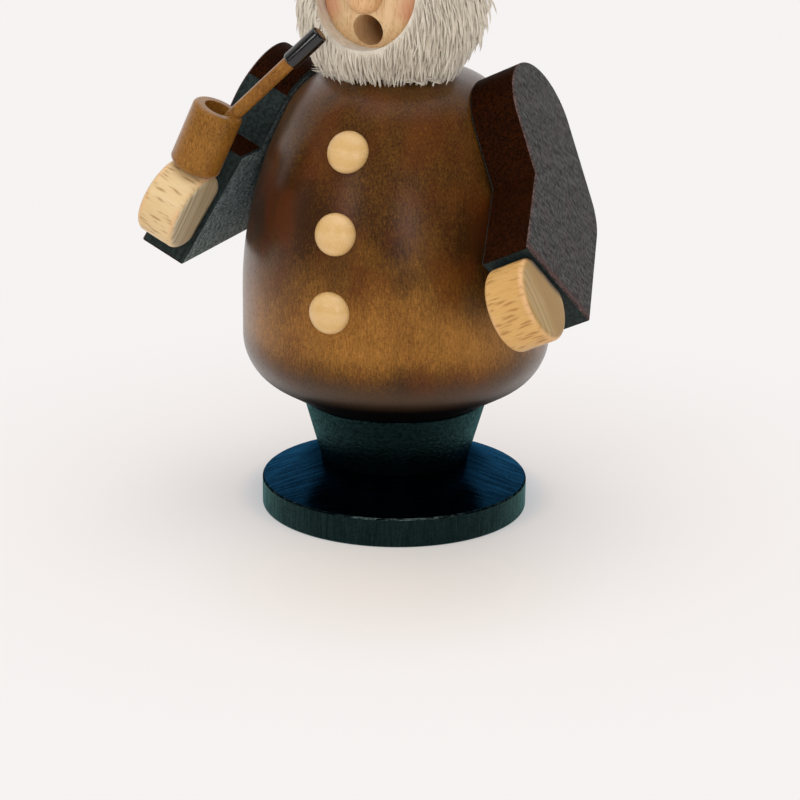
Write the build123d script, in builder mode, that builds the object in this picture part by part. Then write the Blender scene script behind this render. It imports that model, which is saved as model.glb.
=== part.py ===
"""German incense smoker, turned and sawn wood, in millimetres.

The origin is the centre of the foot's underside, +Z is up and the figure faces -Y, so its
left hand is on the +X side. The torso, with everything above it, lifts off the base.
"""

import os
from math import asin, cos, radians, sin, sqrt, tan

from build123d import *

# Foot, plinth and the dowel between them
foot_radius = 36.0
foot_rim_height = 7.9
foot_cone_rise = 6.3
foot_edge_radius = 0.7
plinth_foot_radius = 20.1
plinth_top_radius = 24.8
plinth_height = 16.4
plinth_edge_radius = 0.5
base_dowel_radius = 5.0
base_dowel_foot_depth = 9.0
base_dowel_plinth_depth = 12.0

# Incense plate on top of the spigot
spigot_height = 6.0
spigot_clearance = 0.3
plate_radius = 17.0
plate_thickness = 0.6
plate_rim_height = 2.4
tack_circle_radius = 12.5
tack_count = 3
tack_head_radius = 1.9
tack_head_height = 0.9
tack_shank_radius = 0.6
tack_length = 4.5

# Turned torso: outline, incense chamber, smoke channel and air hole
torso_seat_width = 4.3
torso_underside_angle = 29.8
torso_underside_rounding = 15.0
belly_radius = 41.0
belly_height = 29.9
barrel_arc_radius = 105.0
shoulder_height = 78.4
shoulder_arc_radius = 20.0
chamber_radius = 20.3
chamber_depth = 62.0
chamber_point_angle = 31.0
smoke_channel_radius = 5.0
air_hole_radius = 4.0
air_hole_height = 17.0

# Buttons up the front
button_radius = 5.4
button_dome = 3.4
button_edge = 1.0
button_seat = 0.6
button_stem_radius = 2.5
button_stem_length = 6.0
button_count = 3
button_first_height = 32.75
button_spacing = 19.65
button_first_turn = -1.2
button_turn_step = 0.6

# Board sleeves with their dowels
sleeve_splay = 25.5
sleeve_thickness = 12.9
sleeve_width = 30.3
sleeve_edge_radius = 0.5
arm_pivot_height = 74.4
left_arm_seat_depth = 2.95
right_arm_seat_depth = 2.0
upper_arm_length = 21.4
arm_dowel_radius = 4.0
arm_dowel_torso_depth = 8.0
arm_dowel_sleeve_depth = 8.0
left_upper_arm_angle = 75.8
left_forearm_angle = 32.8
left_forearm_length = 31.6
left_sleeve_cut = -4.8
right_upper_arm_angle = 86.9
right_forearm_angle = 3.3
right_forearm_length = 29.2
right_sleeve_cut = 20.3

# Drum hands with their dowels
hand_radius = 10.6
hand_length = 11.3
hand_rim_radius = 1.7
hand_seat_rounding = 1.2
hand_reach = 7.55
left_hand_rise = 4.8
right_hand_rise = -1.7
hand_dowel_radius = 2.5
hand_dowel_sleeve_depth = 8.0
hand_dowel_hand_depth = 6.0

# Neck and head
neck_tube_radius = 8.0
neck_tube_torso_depth = 10.0
neck_tube_head_depth = 6.5
head_radius = 22.0
head_seat_radius = 10.8
hat_seat_radius = 15.0
mouth_radius = 4.0
mouth_drop = 7.5
smoke_head_room = 1.5
nose_radius = 4.3
nose_length = 5.0
nose_rounding = 3.6
nose_seat = 0.6
nose_lift = 1.0
nose_stem_radius = 1.8
nose_stem_length = 5.0
eye_radius = 1.9
eye_dome = 1.0
eye_depth = 4.0
eye_spread = 8.0
eye_lift = 6.5

# Chin beard
beard_edge_thickness = 1.6
beard_forward = 3.2
beard_drop = 3.0
beard_face_radius = 13.4
beard_face_lift = 1.2
beard_ear = 2.0
beard_jaw = 8.0
beard_top = 4.0
beard_torso_gap = 0.4

# Hat
brim_radius = 31.0
brim_thickness = 4.6
brim_edge_radius = 1.6
crown_radius = 19.2
crown_top_radius = 16.6
crown_height = 27.0
crown_edge_radius = 4.0
band_height = 7.0
band_thickness = 1.3
hat_dowel_radius = 4.0
hat_dowel_head_depth = 8.0
hat_dowel_crown_depth = 12.0

# Pipe in the right hand
pipe_peg_radius = 2.0
pipe_peg_length = 7.5
pipe_peg_clearance = 0.1
pipe_hand_gap = 0.4
pipe_bowl_radius = 6.6
pipe_bowl_height = 17.0
pipe_bowl_edge = 1.2
pipe_bowl_hole_radius = 3.8
pipe_bowl_hole_depth = 3.6
pipe_stem_radius = 1.8
pipe_stem_rise = 7.0
pipe_stem_inset = 4.0
mouthpiece_radius = 2.3
mouthpiece_length = 11.0
mouthpiece_socket = 4.0
mouth_tip_side = 8.0
mouth_tip_gap = 9.0

# Clearance of every glued dowel, plug and seat
glue_gap = 0.05

# Heights and radii that follow from the sizes above
foot_height = foot_rim_height + foot_cone_rise
plinth_top = foot_height + plinth_height
spigot_radius = chamber_radius - spigot_clearance
spigot_top = plinth_top + spigot_height
plate_top = spigot_top + plate_thickness
torso_seat_radius = chamber_radius + torso_seat_width
belly_z = plinth_top + belly_height
shoulder_z = plinth_top + shoulder_height
shoulder_tilt = asin((shoulder_z - belly_z) / barrel_arc_radius)
shoulder_radius = belly_radius - barrel_arc_radius * (1 - cos(shoulder_tilt))
torso_top = shoulder_z + shoulder_arc_radius * (1 - sin(shoulder_tilt))
torso_top_radius = shoulder_radius - shoulder_arc_radius * cos(shoulder_tilt)
chamber_top = plinth_top + chamber_depth
chamber_point = chamber_top + (chamber_radius - smoke_channel_radius) * tan(radians(chamber_point_angle))
head_z = torso_top + sqrt(head_radius**2 - head_seat_radius**2)
mouth_z = head_z - mouth_drop
brim_z = head_z + sqrt(head_radius**2 - hat_seat_radius**2)
crown_z = brim_z + brim_thickness


def barrel_radius(z):
    """Radius of the torso's drawn-in upper part at height z."""
    return belly_radius - barrel_arc_radius + sqrt(barrel_arc_radius**2 - max(z - belly_z, 0.0) ** 2)


def save(builder, node):
    """Name the finished piece and write its STEP file."""
    builder.part.label = node
    export_step(builder.part, f"parts/{node}.step")


os.makedirs("parts", exist_ok=True)

# Foot: rim and low cone in one turning, with the dowel hole from above
with BuildPart() as foot_disc:
    with BuildSketch(Plane.XZ):
        with BuildLine():
            Polyline(
                (0, 0),
                (foot_radius, 0),
                (foot_radius, foot_rim_height),
                (plinth_foot_radius, foot_height),
                (0, foot_height),
                close=True,
            )
        make_face()
    revolve(axis=Axis.Z)
    fillet(foot_disc.edges().filter_by(GeomType.CIRCLE).group_by(SortBy.RADIUS)[-1], foot_edge_radius)
    with BuildSketch(Plane.XY.offset(foot_height)):
        Circle(base_dowel_radius + glue_gap)
    extrude(amount=-base_dowel_foot_depth, mode=Mode.SUBTRACT)
save(foot_disc, "foot_disc")

# Plinth: frustum with the spigot that centres the torso
with BuildPart() as plinth:
    with BuildSketch(Plane.XZ):
        with BuildLine():
            Polyline(
                (0, foot_height),
                (plinth_foot_radius, foot_height),
                (plinth_top_radius, plinth_top),
                (spigot_radius, plinth_top),
                (spigot_radius, spigot_top),
                (0, spigot_top),
                close=True,
            )
        make_face()
    revolve(axis=Axis.Z)
    rims = plinth.edges().filter_by(GeomType.CIRCLE)
    fillet(rims.group_by(SortBy.RADIUS)[-1], plinth_edge_radius)
    chamfer(plinth.edges().filter_by(GeomType.CIRCLE).group_by(Axis.Z)[-1], plinth_edge_radius)
    with BuildSketch(Plane.XY.offset(foot_height)):
        Circle(base_dowel_radius + glue_gap)
    extrude(amount=base_dowel_plinth_depth, mode=Mode.SUBTRACT)
    with BuildSketch(Plane.XY.offset(spigot_top)):
        with PolarLocations(tack_circle_radius, tack_count):
            Circle(tack_shank_radius + glue_gap)
    extrude(amount=-tack_length, mode=Mode.SUBTRACT)
save(plinth, "plinth")

with BuildPart() as base_dowel:
    with BuildSketch(Plane.XY.offset(foot_height - base_dowel_foot_depth)):
        Circle(base_dowel_radius)
    extrude(amount=base_dowel_foot_depth + base_dowel_plinth_depth)
save(base_dowel, "base_dowel")

# Pressed metal dish for the incense cone, with a hole for each tack
with BuildPart() as incense_plate:
    with BuildSketch(Plane.XY.offset(spigot_top)):
        Circle(plate_radius)
    extrude(amount=plate_rim_height)
    with BuildSketch(Plane.XY.offset(plate_top)):
        Circle(plate_radius - plate_thickness)
    extrude(amount=plate_rim_height, mode=Mode.SUBTRACT)
    with BuildSketch(Plane.XY.offset(spigot_top)):
        with PolarLocations(tack_circle_radius, tack_count):
            Circle(tack_shank_radius + glue_gap)
    extrude(amount=plate_thickness, mode=Mode.SUBTRACT)
save(incense_plate, "incense_plate")

with BuildPart() as plate_tacks:
    with BuildSketch(Plane.XY.offset(plate_top)):
        with PolarLocations(tack_circle_radius, tack_count):
            Circle(tack_head_radius)
    extrude(amount=tack_head_height)
    fillet(plate_tacks.edges().group_by(Axis.Z)[-1], tack_head_height / 2)
    with BuildSketch(Plane.XY.offset(plate_top)):
        with PolarLocations(tack_circle_radius, tack_count):
            Circle(tack_shank_radius)
    extrude(amount=-tack_length)
save(plate_tacks, "plate_tacks")


def button_plane(index):
    """Plane of a button's seat: origin on the torso's front, z out of the torso."""
    z = plinth_top + button_first_height + index * button_spacing
    tilt = asin(max(z - belly_z, 0.0) / barrel_arc_radius)
    turn = radians(button_first_turn + index * button_turn_step)
    aside = Vector(sin(turn), -cos(turn), 0)
    facing = aside * cos(tilt) + Vector(0, 0, sin(tilt))
    origin = aside * barrel_radius(z) + Vector(0, 0, z)
    surface = Plane(origin=origin, x_dir=(cos(turn), sin(turn), 0), z_dir=facing)
    return surface.offset(-button_seat)


def outward(side):
    """Unit vector across the sleeve board, away from the torso."""
    return Vector(side * cos(radians(sleeve_splay)), 0, sin(radians(sleeve_splay)))


def in_board(side, angle):
    """Unit vector in the sleeve board, turned down from straight ahead by angle degrees."""
    ahead = cos(radians(angle))
    down = sin(radians(angle))
    return Vector(side * down * sin(radians(sleeve_splay)), -ahead, -down * cos(radians(sleeve_splay)))


def arm_seat(side):
    """Point where the sleeve's dowel meets the flat cut into the torso's shoulder."""
    z = plinth_top + arm_pivot_height
    depth = left_arm_seat_depth if side > 0 else right_arm_seat_depth
    return Vector(side * barrel_radius(z), 0, z) - outward(side) * depth


def board_plane(side):
    """Plane of the sleeve's inner face: x straight ahead, z away from the torso."""
    return Plane(origin=arm_seat(side), x_dir=(0, -1, 0), z_dir=outward(side))


def board_point(side, angle, length):
    """Point in board_plane's own axes, length from its origin at angle degrees below ahead."""
    return Vector(length * cos(radians(angle)), side * length * sin(radians(angle)))


sides = {"left": 1, "right": -1}
upper_arm_angles = {"left": left_upper_arm_angle, "right": right_upper_arm_angle}
forearm_angles = {"left": left_forearm_angle, "right": right_forearm_angle}
forearm_lengths = {"left": left_forearm_length, "right": right_forearm_length}
sleeve_cuts = {"left": left_sleeve_cut, "right": right_sleeve_cut}
hand_rises = {"left": left_hand_rise, "right": right_hand_rise}


def sleeve_end(arm):
    """Centre of the sleeve's end face, halfway through the board."""
    side = sides[arm]
    elbow = in_board(side, upper_arm_angles[arm]) * upper_arm_length
    forearm = in_board(side, forearm_angles[arm]) * forearm_lengths[arm]
    return arm_seat(side) + elbow + forearm + outward(side) * (sleeve_thickness / 2)


def end_plane(arm):
    """Plane of the sleeve's end face: z out of the sleeve, x across the board."""
    side = sides[arm]
    facing = in_board(side, forearm_angles[arm] - sleeve_cuts[arm])
    return Plane(origin=sleeve_end(arm), x_dir=outward(side), z_dir=facing)


def hand_centre(arm):
    """Centre of the drum hand."""
    side = sides[arm]
    up_the_cut = in_board(side, forearm_angles[arm] - sleeve_cuts[arm] - 90)
    return sleeve_end(arm) + end_plane(arm).z_dir * hand_reach + up_the_cut * hand_rises[arm]


# Torso: outline turned about Z, chamber drilled from below, flats for the sleeves
with BuildPart() as torso_shell:
    with BuildSketch(Plane.XZ):
        slope = radians(torso_underside_angle)
        corner_z = plinth_top + (belly_radius - torso_seat_radius) * tan(slope)
        corner_reach = torso_underside_rounding * tan((radians(90) - slope) / 2)
        with BuildLine():
            Line((smoke_channel_radius, plinth_top), (torso_seat_radius, plinth_top))
            Line(
                (torso_seat_radius, plinth_top),
                (belly_radius - corner_reach * cos(slope), corner_z - corner_reach * sin(slope)),
            )
            underside = TangentArc(
                (belly_radius - corner_reach * cos(slope), corner_z - corner_reach * sin(slope)),
                (belly_radius, corner_z + corner_reach),
                tangent=(cos(slope), sin(slope)),
            )
            Line(underside @ 1, (belly_radius, belly_z))
            barrel = TangentArc((belly_radius, belly_z), (shoulder_radius, shoulder_z), tangent=(0, 1))
            shoulder = TangentArc(barrel @ 1, (torso_top_radius, torso_top), tangent=barrel % 1)
            Line(shoulder @ 1, (smoke_channel_radius, torso_top))
            Line((smoke_channel_radius, torso_top), (smoke_channel_radius, plinth_top))
        make_face()
    revolve(axis=Axis.Z)
    with BuildSketch(Plane.XZ):
        with BuildLine():
            Polyline(
                (0, plinth_top),
                (chamber_radius, plinth_top),
                (chamber_radius, chamber_top),
                (smoke_channel_radius, chamber_point),
                (0, chamber_point),
                close=True,
            )
        make_face()
    revolve(axis=Axis.Z, mode=Mode.SUBTRACT)
    with BuildSketch(Plane.XY.offset(torso_top)):
        Circle(neck_tube_radius + glue_gap)
    extrude(amount=-neck_tube_torso_depth, mode=Mode.SUBTRACT)
    with BuildSketch(Plane.XZ):
        with Locations((0, plinth_top + air_hole_height)):
            Circle(air_hole_radius)
    extrude(amount=-belly_radius, mode=Mode.SUBTRACT)
    for side in sides.values():
        with BuildSketch(board_plane(side)):
            Rectangle(4 * belly_radius, 4 * belly_radius)
        extrude(amount=belly_radius, mode=Mode.SUBTRACT)
        with BuildSketch(board_plane(side)):
            Circle(arm_dowel_radius + glue_gap)
        extrude(amount=-arm_dowel_torso_depth, mode=Mode.SUBTRACT)
    for index in range(button_count):
        with BuildSketch(button_plane(index)):
            Circle(button_radius + glue_gap)
        extrude(amount=2 * button_seat, mode=Mode.SUBTRACT)
        with BuildSketch(button_plane(index)):
            Circle(button_stem_radius + glue_gap)
        extrude(amount=-button_stem_length, mode=Mode.SUBTRACT)
save(torso_shell, "torso_shell")

# Buttons: domed heads on short stems
dome_rise = button_dome - button_edge
dome_radius = (button_radius**2 + dome_rise**2) / (2 * dome_rise)
for index, place in enumerate(("lower", "middle", "upper")[:button_count]):
    dome_plane = button_plane(index).offset(button_seat + button_dome - dome_radius)
    with BuildPart() as button:
        with BuildSketch(button_plane(index)):
            Circle(button_radius)
        extrude(amount=button_seat + button_dome)
        with Locations(dome_plane):
            Sphere(dome_radius, mode=Mode.INTERSECT)
        with BuildSketch(button_plane(index)):
            Circle(button_stem_radius)
        extrude(amount=-button_stem_length)
    save(button, f"button_{place}")

# Sleeves, hands and their dowels, one pair for each arm
for arm, side in sides.items():
    elbow = board_point(side, upper_arm_angles[arm], upper_arm_length)
    forearm_span = forearm_lengths[arm] + sleeve_width / 2 * tan(radians(abs(sleeve_cuts[arm])))
    upper_middle = board_point(side, upper_arm_angles[arm], upper_arm_length / 2)
    fore_middle = elbow + board_point(side, forearm_angles[arm], forearm_span / 2)
    with BuildPart() as sleeve:
        with BuildSketch(board_plane(side)):
            with Locations((0, 0), elbow):
                Circle(sleeve_width / 2)
            with Locations(Location(upper_middle, (0, 0, side * upper_arm_angles[arm]))):
                Rectangle(upper_arm_length, sleeve_width)
            with Locations(Location(fore_middle, (0, 0, side * forearm_angles[arm]))):
                Rectangle(forearm_span, sleeve_width)
        extrude(amount=sleeve_thickness)
        with BuildSketch(end_plane(arm)):
            Rectangle(4 * sleeve_width, 4 * sleeve_width)
        extrude(amount=2 * sleeve_width, mode=Mode.SUBTRACT)
        fillet(sleeve.edges(), sleeve_edge_radius)
        with BuildSketch(board_plane(side)):
            Circle(arm_dowel_radius + glue_gap)
        extrude(amount=arm_dowel_sleeve_depth, mode=Mode.SUBTRACT)
        with BuildSketch(end_plane(arm)):
            with Locations((0, side * hand_rises[arm])):
                Circle(hand_dowel_radius + glue_gap)
        extrude(amount=-hand_dowel_sleeve_depth, mode=Mode.SUBTRACT)
    save(sleeve, f"{arm}_arm")

    with BuildPart() as arm_dowel:
        with BuildSketch(board_plane(side).offset(-arm_dowel_torso_depth)):
            Circle(arm_dowel_radius)
        extrude(amount=arm_dowel_torso_depth + arm_dowel_sleeve_depth)
    save(arm_dowel, f"{arm}_arm_dowel")

    drum_plane = Plane(origin=hand_centre(arm), x_dir=(0, -1, 0), z_dir=outward(side))
    peg_plane = Plane(origin=hand_centre(arm), x_dir=(0, -1, 0), z_dir=in_board(side, -90))
    with BuildPart() as hand:
        with BuildSketch(drum_plane.offset(-hand_length / 2)):
            Circle(hand_radius)
        extrude(amount=hand_length)
        fillet(hand.edges().filter_by(GeomType.CIRCLE), hand_rim_radius)
        with BuildSketch(end_plane(arm)):
            Rectangle(6 * hand_radius, 6 * hand_radius)
        extrude(amount=-3 * hand_radius, mode=Mode.SUBTRACT)
        seat = hand.faces().sort_by(Axis(sleeve_end(arm), end_plane(arm).z_dir))[0]
        fillet(seat.edges(), hand_seat_rounding)
        with BuildSketch(end_plane(arm)):
            with Locations((0, side * hand_rises[arm])):
                Circle(hand_dowel_radius + glue_gap)
        extrude(amount=hand_dowel_hand_depth, mode=Mode.SUBTRACT)
        if arm == "right":
            with BuildSketch(peg_plane.offset(hand_radius - pipe_peg_length - pipe_peg_clearance)):
                Circle(pipe_peg_radius + pipe_peg_clearance)
            extrude(amount=hand_radius, mode=Mode.SUBTRACT)
    save(hand, f"{arm}_hand")

    with BuildPart() as hand_dowel:
        with BuildSketch(end_plane(arm).offset(-hand_dowel_sleeve_depth)):
            with Locations((0, side * hand_rises[arm])):
                Circle(hand_dowel_radius)
        extrude(amount=hand_dowel_sleeve_depth + hand_dowel_hand_depth)
    save(hand_dowel, f"{arm}_hand_dowel")

# Hollow dowel between torso and head, part of the smoke's way
with BuildPart() as neck_tube:
    with BuildSketch(Plane.XY.offset(torso_top - neck_tube_torso_depth)):
        Circle(neck_tube_radius)
        Circle(smoke_channel_radius, mode=Mode.SUBTRACT)
    extrude(amount=neck_tube_torso_depth + neck_tube_head_depth)
save(neck_tube, "neck_tube")


def face_point(across, lift):
    """Point on the front of the head ball, across to +X and lift above its centre."""
    return Vector(across, -sqrt(head_radius**2 - across**2 - lift**2), head_z + lift)


def face_plane(across, lift):
    """Plane on the head's surface there, with z out of the head."""
    point = face_point(across, lift)
    return Plane(origin=point, x_dir=(1, 0, 0), z_dir=point - Vector(0, 0, head_z))


nose_plane = face_plane(0, nose_lift).offset(-nose_seat)
eye_planes = {arm: face_plane(side * eye_spread, eye_lift) for arm, side in sides.items()}

# Head: ball with flat seats below and above, smoke channel and mouth
with BuildPart() as head:
    with BuildSketch(Plane.XZ):
        with BuildLine():
            Line((0, torso_top), (head_seat_radius, torso_top))
            ThreePointArc((head_seat_radius, torso_top), (head_radius, head_z), (hat_seat_radius, brim_z))
            Line((hat_seat_radius, brim_z), (0, brim_z))
            Line((0, brim_z), (0, torso_top))
        make_face()
    revolve(axis=Axis.Z)
    with BuildSketch(Plane.XY.offset(torso_top)):
        Circle(neck_tube_radius + glue_gap)
    extrude(amount=neck_tube_head_depth, mode=Mode.SUBTRACT)
    with BuildSketch(Plane.XY.offset(torso_top)):
        Circle(smoke_channel_radius)
    extrude(amount=mouth_z + mouth_radius + smoke_head_room - torso_top, mode=Mode.SUBTRACT)
    with BuildSketch(Plane.XZ):
        with Locations((0, mouth_z)):
            Circle(mouth_radius)
    extrude(amount=head_radius, mode=Mode.SUBTRACT)
    with BuildSketch(nose_plane):
        Circle(nose_radius + glue_gap)
    extrude(amount=2 * nose_seat, mode=Mode.SUBTRACT)
    with BuildSketch(nose_plane):
        Circle(nose_stem_radius + glue_gap)
    extrude(amount=-nose_stem_length, mode=Mode.SUBTRACT)
    for eye_plane in eye_planes.values():
        with BuildSketch(eye_plane.offset(-eye_depth)):
            Circle(eye_radius + glue_gap)
        extrude(amount=2 * eye_depth, mode=Mode.SUBTRACT)
    with BuildSketch(Plane.XY.offset(brim_z)):
        Circle(hat_dowel_radius + glue_gap)
    extrude(amount=-hat_dowel_head_depth, mode=Mode.SUBTRACT)
save(head, "head")

with BuildPart() as nose:
    with BuildSketch(nose_plane):
        Circle(nose_radius)
    extrude(amount=nose_seat + nose_length)
    fillet(nose.edges().sort_by(Axis(nose_plane.origin, nose_plane.z_dir))[-1], nose_rounding)
    with BuildSketch(nose_plane):
        Circle(nose_stem_radius)
    extrude(amount=-nose_stem_length)
save(nose, "nose")

for arm, eye_plane in eye_planes.items():
    with BuildPart() as eye:
        with BuildSketch(eye_plane.offset(-eye_depth)):
            Circle(eye_radius)
        extrude(amount=eye_depth + eye_dome)
        fillet(eye.edges().sort_by(Axis(eye_plane.origin, eye_plane.z_dir))[-1], 0.9 * eye_dome)
    save(eye, f"{arm}_eye")

# Beard: crescent between the head ball and a larger ball set lower and further forward
beard_radius = head_radius + beard_edge_thickness
beard_low = torso_top + beard_torso_gap
with BuildPart() as beard:
    with Locations((0, -beard_forward, head_z - beard_drop)):
        Sphere(beard_radius)
    with BuildSketch(Plane.YZ):
        with BuildLine():
            Polyline(
                (beard_ear, head_z + beard_top),
                (-2 * head_radius, head_z + beard_top),
                (-2 * head_radius, beard_low),
                (-beard_jaw, beard_low),
                close=True,
            )
        make_face()
    extrude(amount=2 * head_radius, both=True, mode=Mode.INTERSECT)
    with BuildSketch(Plane.XZ):
        with Locations((0, head_z + beard_face_lift)):
            Circle(beard_face_radius)
    extrude(amount=3 * head_radius, mode=Mode.SUBTRACT)
    with Locations((0, 0, head_z)):
        Sphere(head_radius + glue_gap, mode=Mode.SUBTRACT)
save(beard, "beard")

# Hat: brim, crown and the band round its foot
with BuildPart() as hat_brim:
    with BuildSketch(Plane.XY.offset(brim_z)):
        Circle(brim_radius)
    extrude(amount=brim_thickness)
    fillet(hat_brim.edges(), brim_edge_radius)
    with BuildSketch(Plane.XY.offset(brim_z)):
        Circle(hat_dowel_radius + glue_gap)
    extrude(amount=brim_thickness, mode=Mode.SUBTRACT)
save(hat_brim, "hat_brim")

with BuildPart() as hat_crown:
    with BuildSketch(Plane.XZ):
        with BuildLine():
            Polyline(
                (0, crown_z),
                (crown_radius, crown_z),
                (crown_radius, crown_z + band_height),
                (crown_top_radius, crown_z + crown_height),
                (0, crown_z + crown_height),
                close=True,
            )
        make_face()
    revolve(axis=Axis.Z)
    fillet(hat_crown.edges().filter_by(GeomType.CIRCLE).group_by(Axis.Z)[-1], crown_edge_radius)
    with BuildSketch(Plane.XY.offset(crown_z)):
        Circle(hat_dowel_radius + glue_gap)
    extrude(amount=hat_dowel_crown_depth, mode=Mode.SUBTRACT)
save(hat_crown, "hat_crown")

with BuildPart() as hat_band:
    with BuildSketch(Plane.XY.offset(crown_z)):
        Circle(crown_radius + glue_gap + band_thickness)
        Circle(crown_radius + glue_gap, mode=Mode.SUBTRACT)
    extrude(amount=band_height)
    fillet(hat_band.edges().filter_by(GeomType.CIRCLE).group_by(SortBy.RADIUS)[-1], band_thickness / 3)
save(hat_band, "hat_band")

with BuildPart() as hat_dowel:
    with BuildSketch(Plane.XY.offset(brim_z - hat_dowel_head_depth)):
        Circle(hat_dowel_radius)
    extrude(amount=hat_dowel_head_depth + brim_thickness + hat_dowel_crown_depth)
save(hat_dowel, "hat_dowel")

# Pipe: its peg stands in the right hand, its stem points to the mouth
pipe_up = in_board(sides["right"], -90)
bowl_base = hand_centre("right") + pipe_up * (hand_radius + pipe_hand_gap)
bowl_plane = Plane(origin=bowl_base, x_dir=(0, -1, 0), z_dir=pipe_up)
stem_start = bowl_base + pipe_up * pipe_stem_rise
mouth_tip = Vector(-mouth_tip_side, -(head_radius + mouth_tip_gap), mouth_z)
stem_way = mouth_tip - stem_start
stem_plane = Plane(origin=stem_start, z_dir=stem_way).offset(pipe_bowl_radius - pipe_stem_inset)
mouthpiece_plane = Plane(origin=mouth_tip, z_dir=stem_way).offset(-mouthpiece_length)
stem_length = stem_way.length - mouthpiece_length + mouthpiece_socket
stem_length = stem_length - (pipe_bowl_radius - pipe_stem_inset)

with BuildPart() as pipe_bowl:
    with BuildSketch(bowl_plane):
        Circle(pipe_bowl_radius)
    extrude(amount=pipe_bowl_height)
    fillet(pipe_bowl.edges().filter_by(GeomType.CIRCLE), pipe_bowl_edge)
    with BuildSketch(bowl_plane.offset(pipe_bowl_height)):
        Circle(pipe_bowl_hole_radius)
    extrude(amount=-pipe_bowl_hole_depth, mode=Mode.SUBTRACT)
    with BuildSketch(bowl_plane):
        Circle(pipe_peg_radius)
    extrude(amount=-pipe_hand_gap - pipe_peg_length)
    with BuildSketch(stem_plane):
        Circle(pipe_stem_radius + glue_gap)
    extrude(amount=2 * pipe_bowl_radius, mode=Mode.SUBTRACT)
save(pipe_bowl, "pipe_bowl")

with BuildPart() as pipe_stem:
    with BuildSketch(stem_plane):
        Circle(pipe_stem_radius)
    extrude(amount=stem_length)
save(pipe_stem, "pipe_stem")

with BuildPart() as pipe_mouthpiece:
    with BuildSketch(mouthpiece_plane):
        Circle(mouthpiece_radius)
    extrude(amount=mouthpiece_length)
    fillet(pipe_mouthpiece.edges().filter_by(GeomType.CIRCLE), mouthpiece_radius / 3)
    with BuildSketch(mouthpiece_plane):
        Circle(pipe_stem_radius + glue_gap)
    extrude(amount=mouthpiece_socket, mode=Mode.SUBTRACT)
save(pipe_mouthpiece, "pipe_mouthpiece")
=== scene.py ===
"""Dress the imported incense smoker: turned, sawn and painted wood under soft studio light.

The frame gives every node its place. Turned pieces are made again from their outlines with a
finer round, sawn and carved ones are smoothed copies of their nodes, and each piece gets a
finish made of shader nodes. Sizes are in millimetres unless a name says otherwise.
"""

import logging
import math
from dataclasses import dataclass, field, replace
from enum import Enum, IntEnum
from typing import Optional, Sequence, Union

import bmesh
import bpy
from mathutils import Matrix, Vector


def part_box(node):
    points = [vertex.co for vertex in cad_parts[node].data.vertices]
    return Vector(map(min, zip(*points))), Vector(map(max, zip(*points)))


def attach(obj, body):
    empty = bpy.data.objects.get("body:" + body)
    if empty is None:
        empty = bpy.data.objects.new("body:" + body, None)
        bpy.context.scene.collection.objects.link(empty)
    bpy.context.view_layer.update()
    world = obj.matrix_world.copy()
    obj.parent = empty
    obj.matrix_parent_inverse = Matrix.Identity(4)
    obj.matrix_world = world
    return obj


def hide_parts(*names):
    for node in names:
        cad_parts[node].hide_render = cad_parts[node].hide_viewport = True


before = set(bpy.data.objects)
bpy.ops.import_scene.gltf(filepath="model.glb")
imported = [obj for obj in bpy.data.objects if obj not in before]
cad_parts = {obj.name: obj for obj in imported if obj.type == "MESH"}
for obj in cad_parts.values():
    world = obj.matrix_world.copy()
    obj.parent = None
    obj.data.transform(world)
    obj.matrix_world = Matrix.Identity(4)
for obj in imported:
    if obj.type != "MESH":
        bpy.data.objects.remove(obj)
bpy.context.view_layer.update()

log = logging.getLogger("smoker")

Tone = tuple[int, int, int]
Span = tuple[float, float]
Triple = tuple[float, float, float]
Outline = list[Span]

MM = 0.001
# Points closer than this are one point.
MERGE_REACH = 0.002
# An edge bent by more degrees than this stays sharp.
CREASE = 28.0
# A reach past the end of every piece, for a pattern that a finish goes without.
NOWHERE: Span = (900.0, 901.0)
PLAIN_AXES: tuple[Triple, ...] = ((1, 0, 0), (0, 1, 0), (0, 0, 1))


class Body(Enum):
    """The moving bodies of the frame."""

    BASE = "base"
    TORSO = "torso"
    PIPE = "pipe"


class Side(Enum):
    """The figure's own left and right, as the sign of X."""

    LEFT = 1
    RIGHT = -1

    @property
    def label(self) -> str:
        """Return the side's name as the nodes spell it."""
        return self.name.lower()


class FootFace(IntEnum):
    """The foot's finishes by their number on its mesh."""

    RIM = 0
    TOP = 1
    EDGE = 2


class SleeveFace(IntEnum):
    """A sleeve's finishes by their number on its mesh."""

    OUTER = 0
    INNER = 1
    WALL = 2
    WORN = 3
    END = 4


class SocketKind(Enum):
    """What an input of a Geometry Nodes tree takes."""

    COUNT = "NodeSocketInt"
    NUMBER = "NodeSocketFloat"
    PLACE = "NodeSocketVector"
    OBJECT = "NodeSocketObject"
    FINISH = "NodeSocketMaterial"
    GEOMETRY = "NodeSocketGeometry"


def linear(tone: Tone) -> tuple[float, float, float, float]:
    """Turn an sRGB tone of 0 to 255 into a linear colour with full alpha.

    Args:
        tone: Red, green and blue as they look on screen.

    Returns:
        The linear colour for a shader socket.
    """
    parts = []
    for part in tone:
        share = part / 255
        parts.append(share / 12.92 if share <= 0.04045 else ((share + 0.055) / 1.055) ** 2.4)
    return (parts[0], parts[1], parts[2], 1.0)


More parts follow.
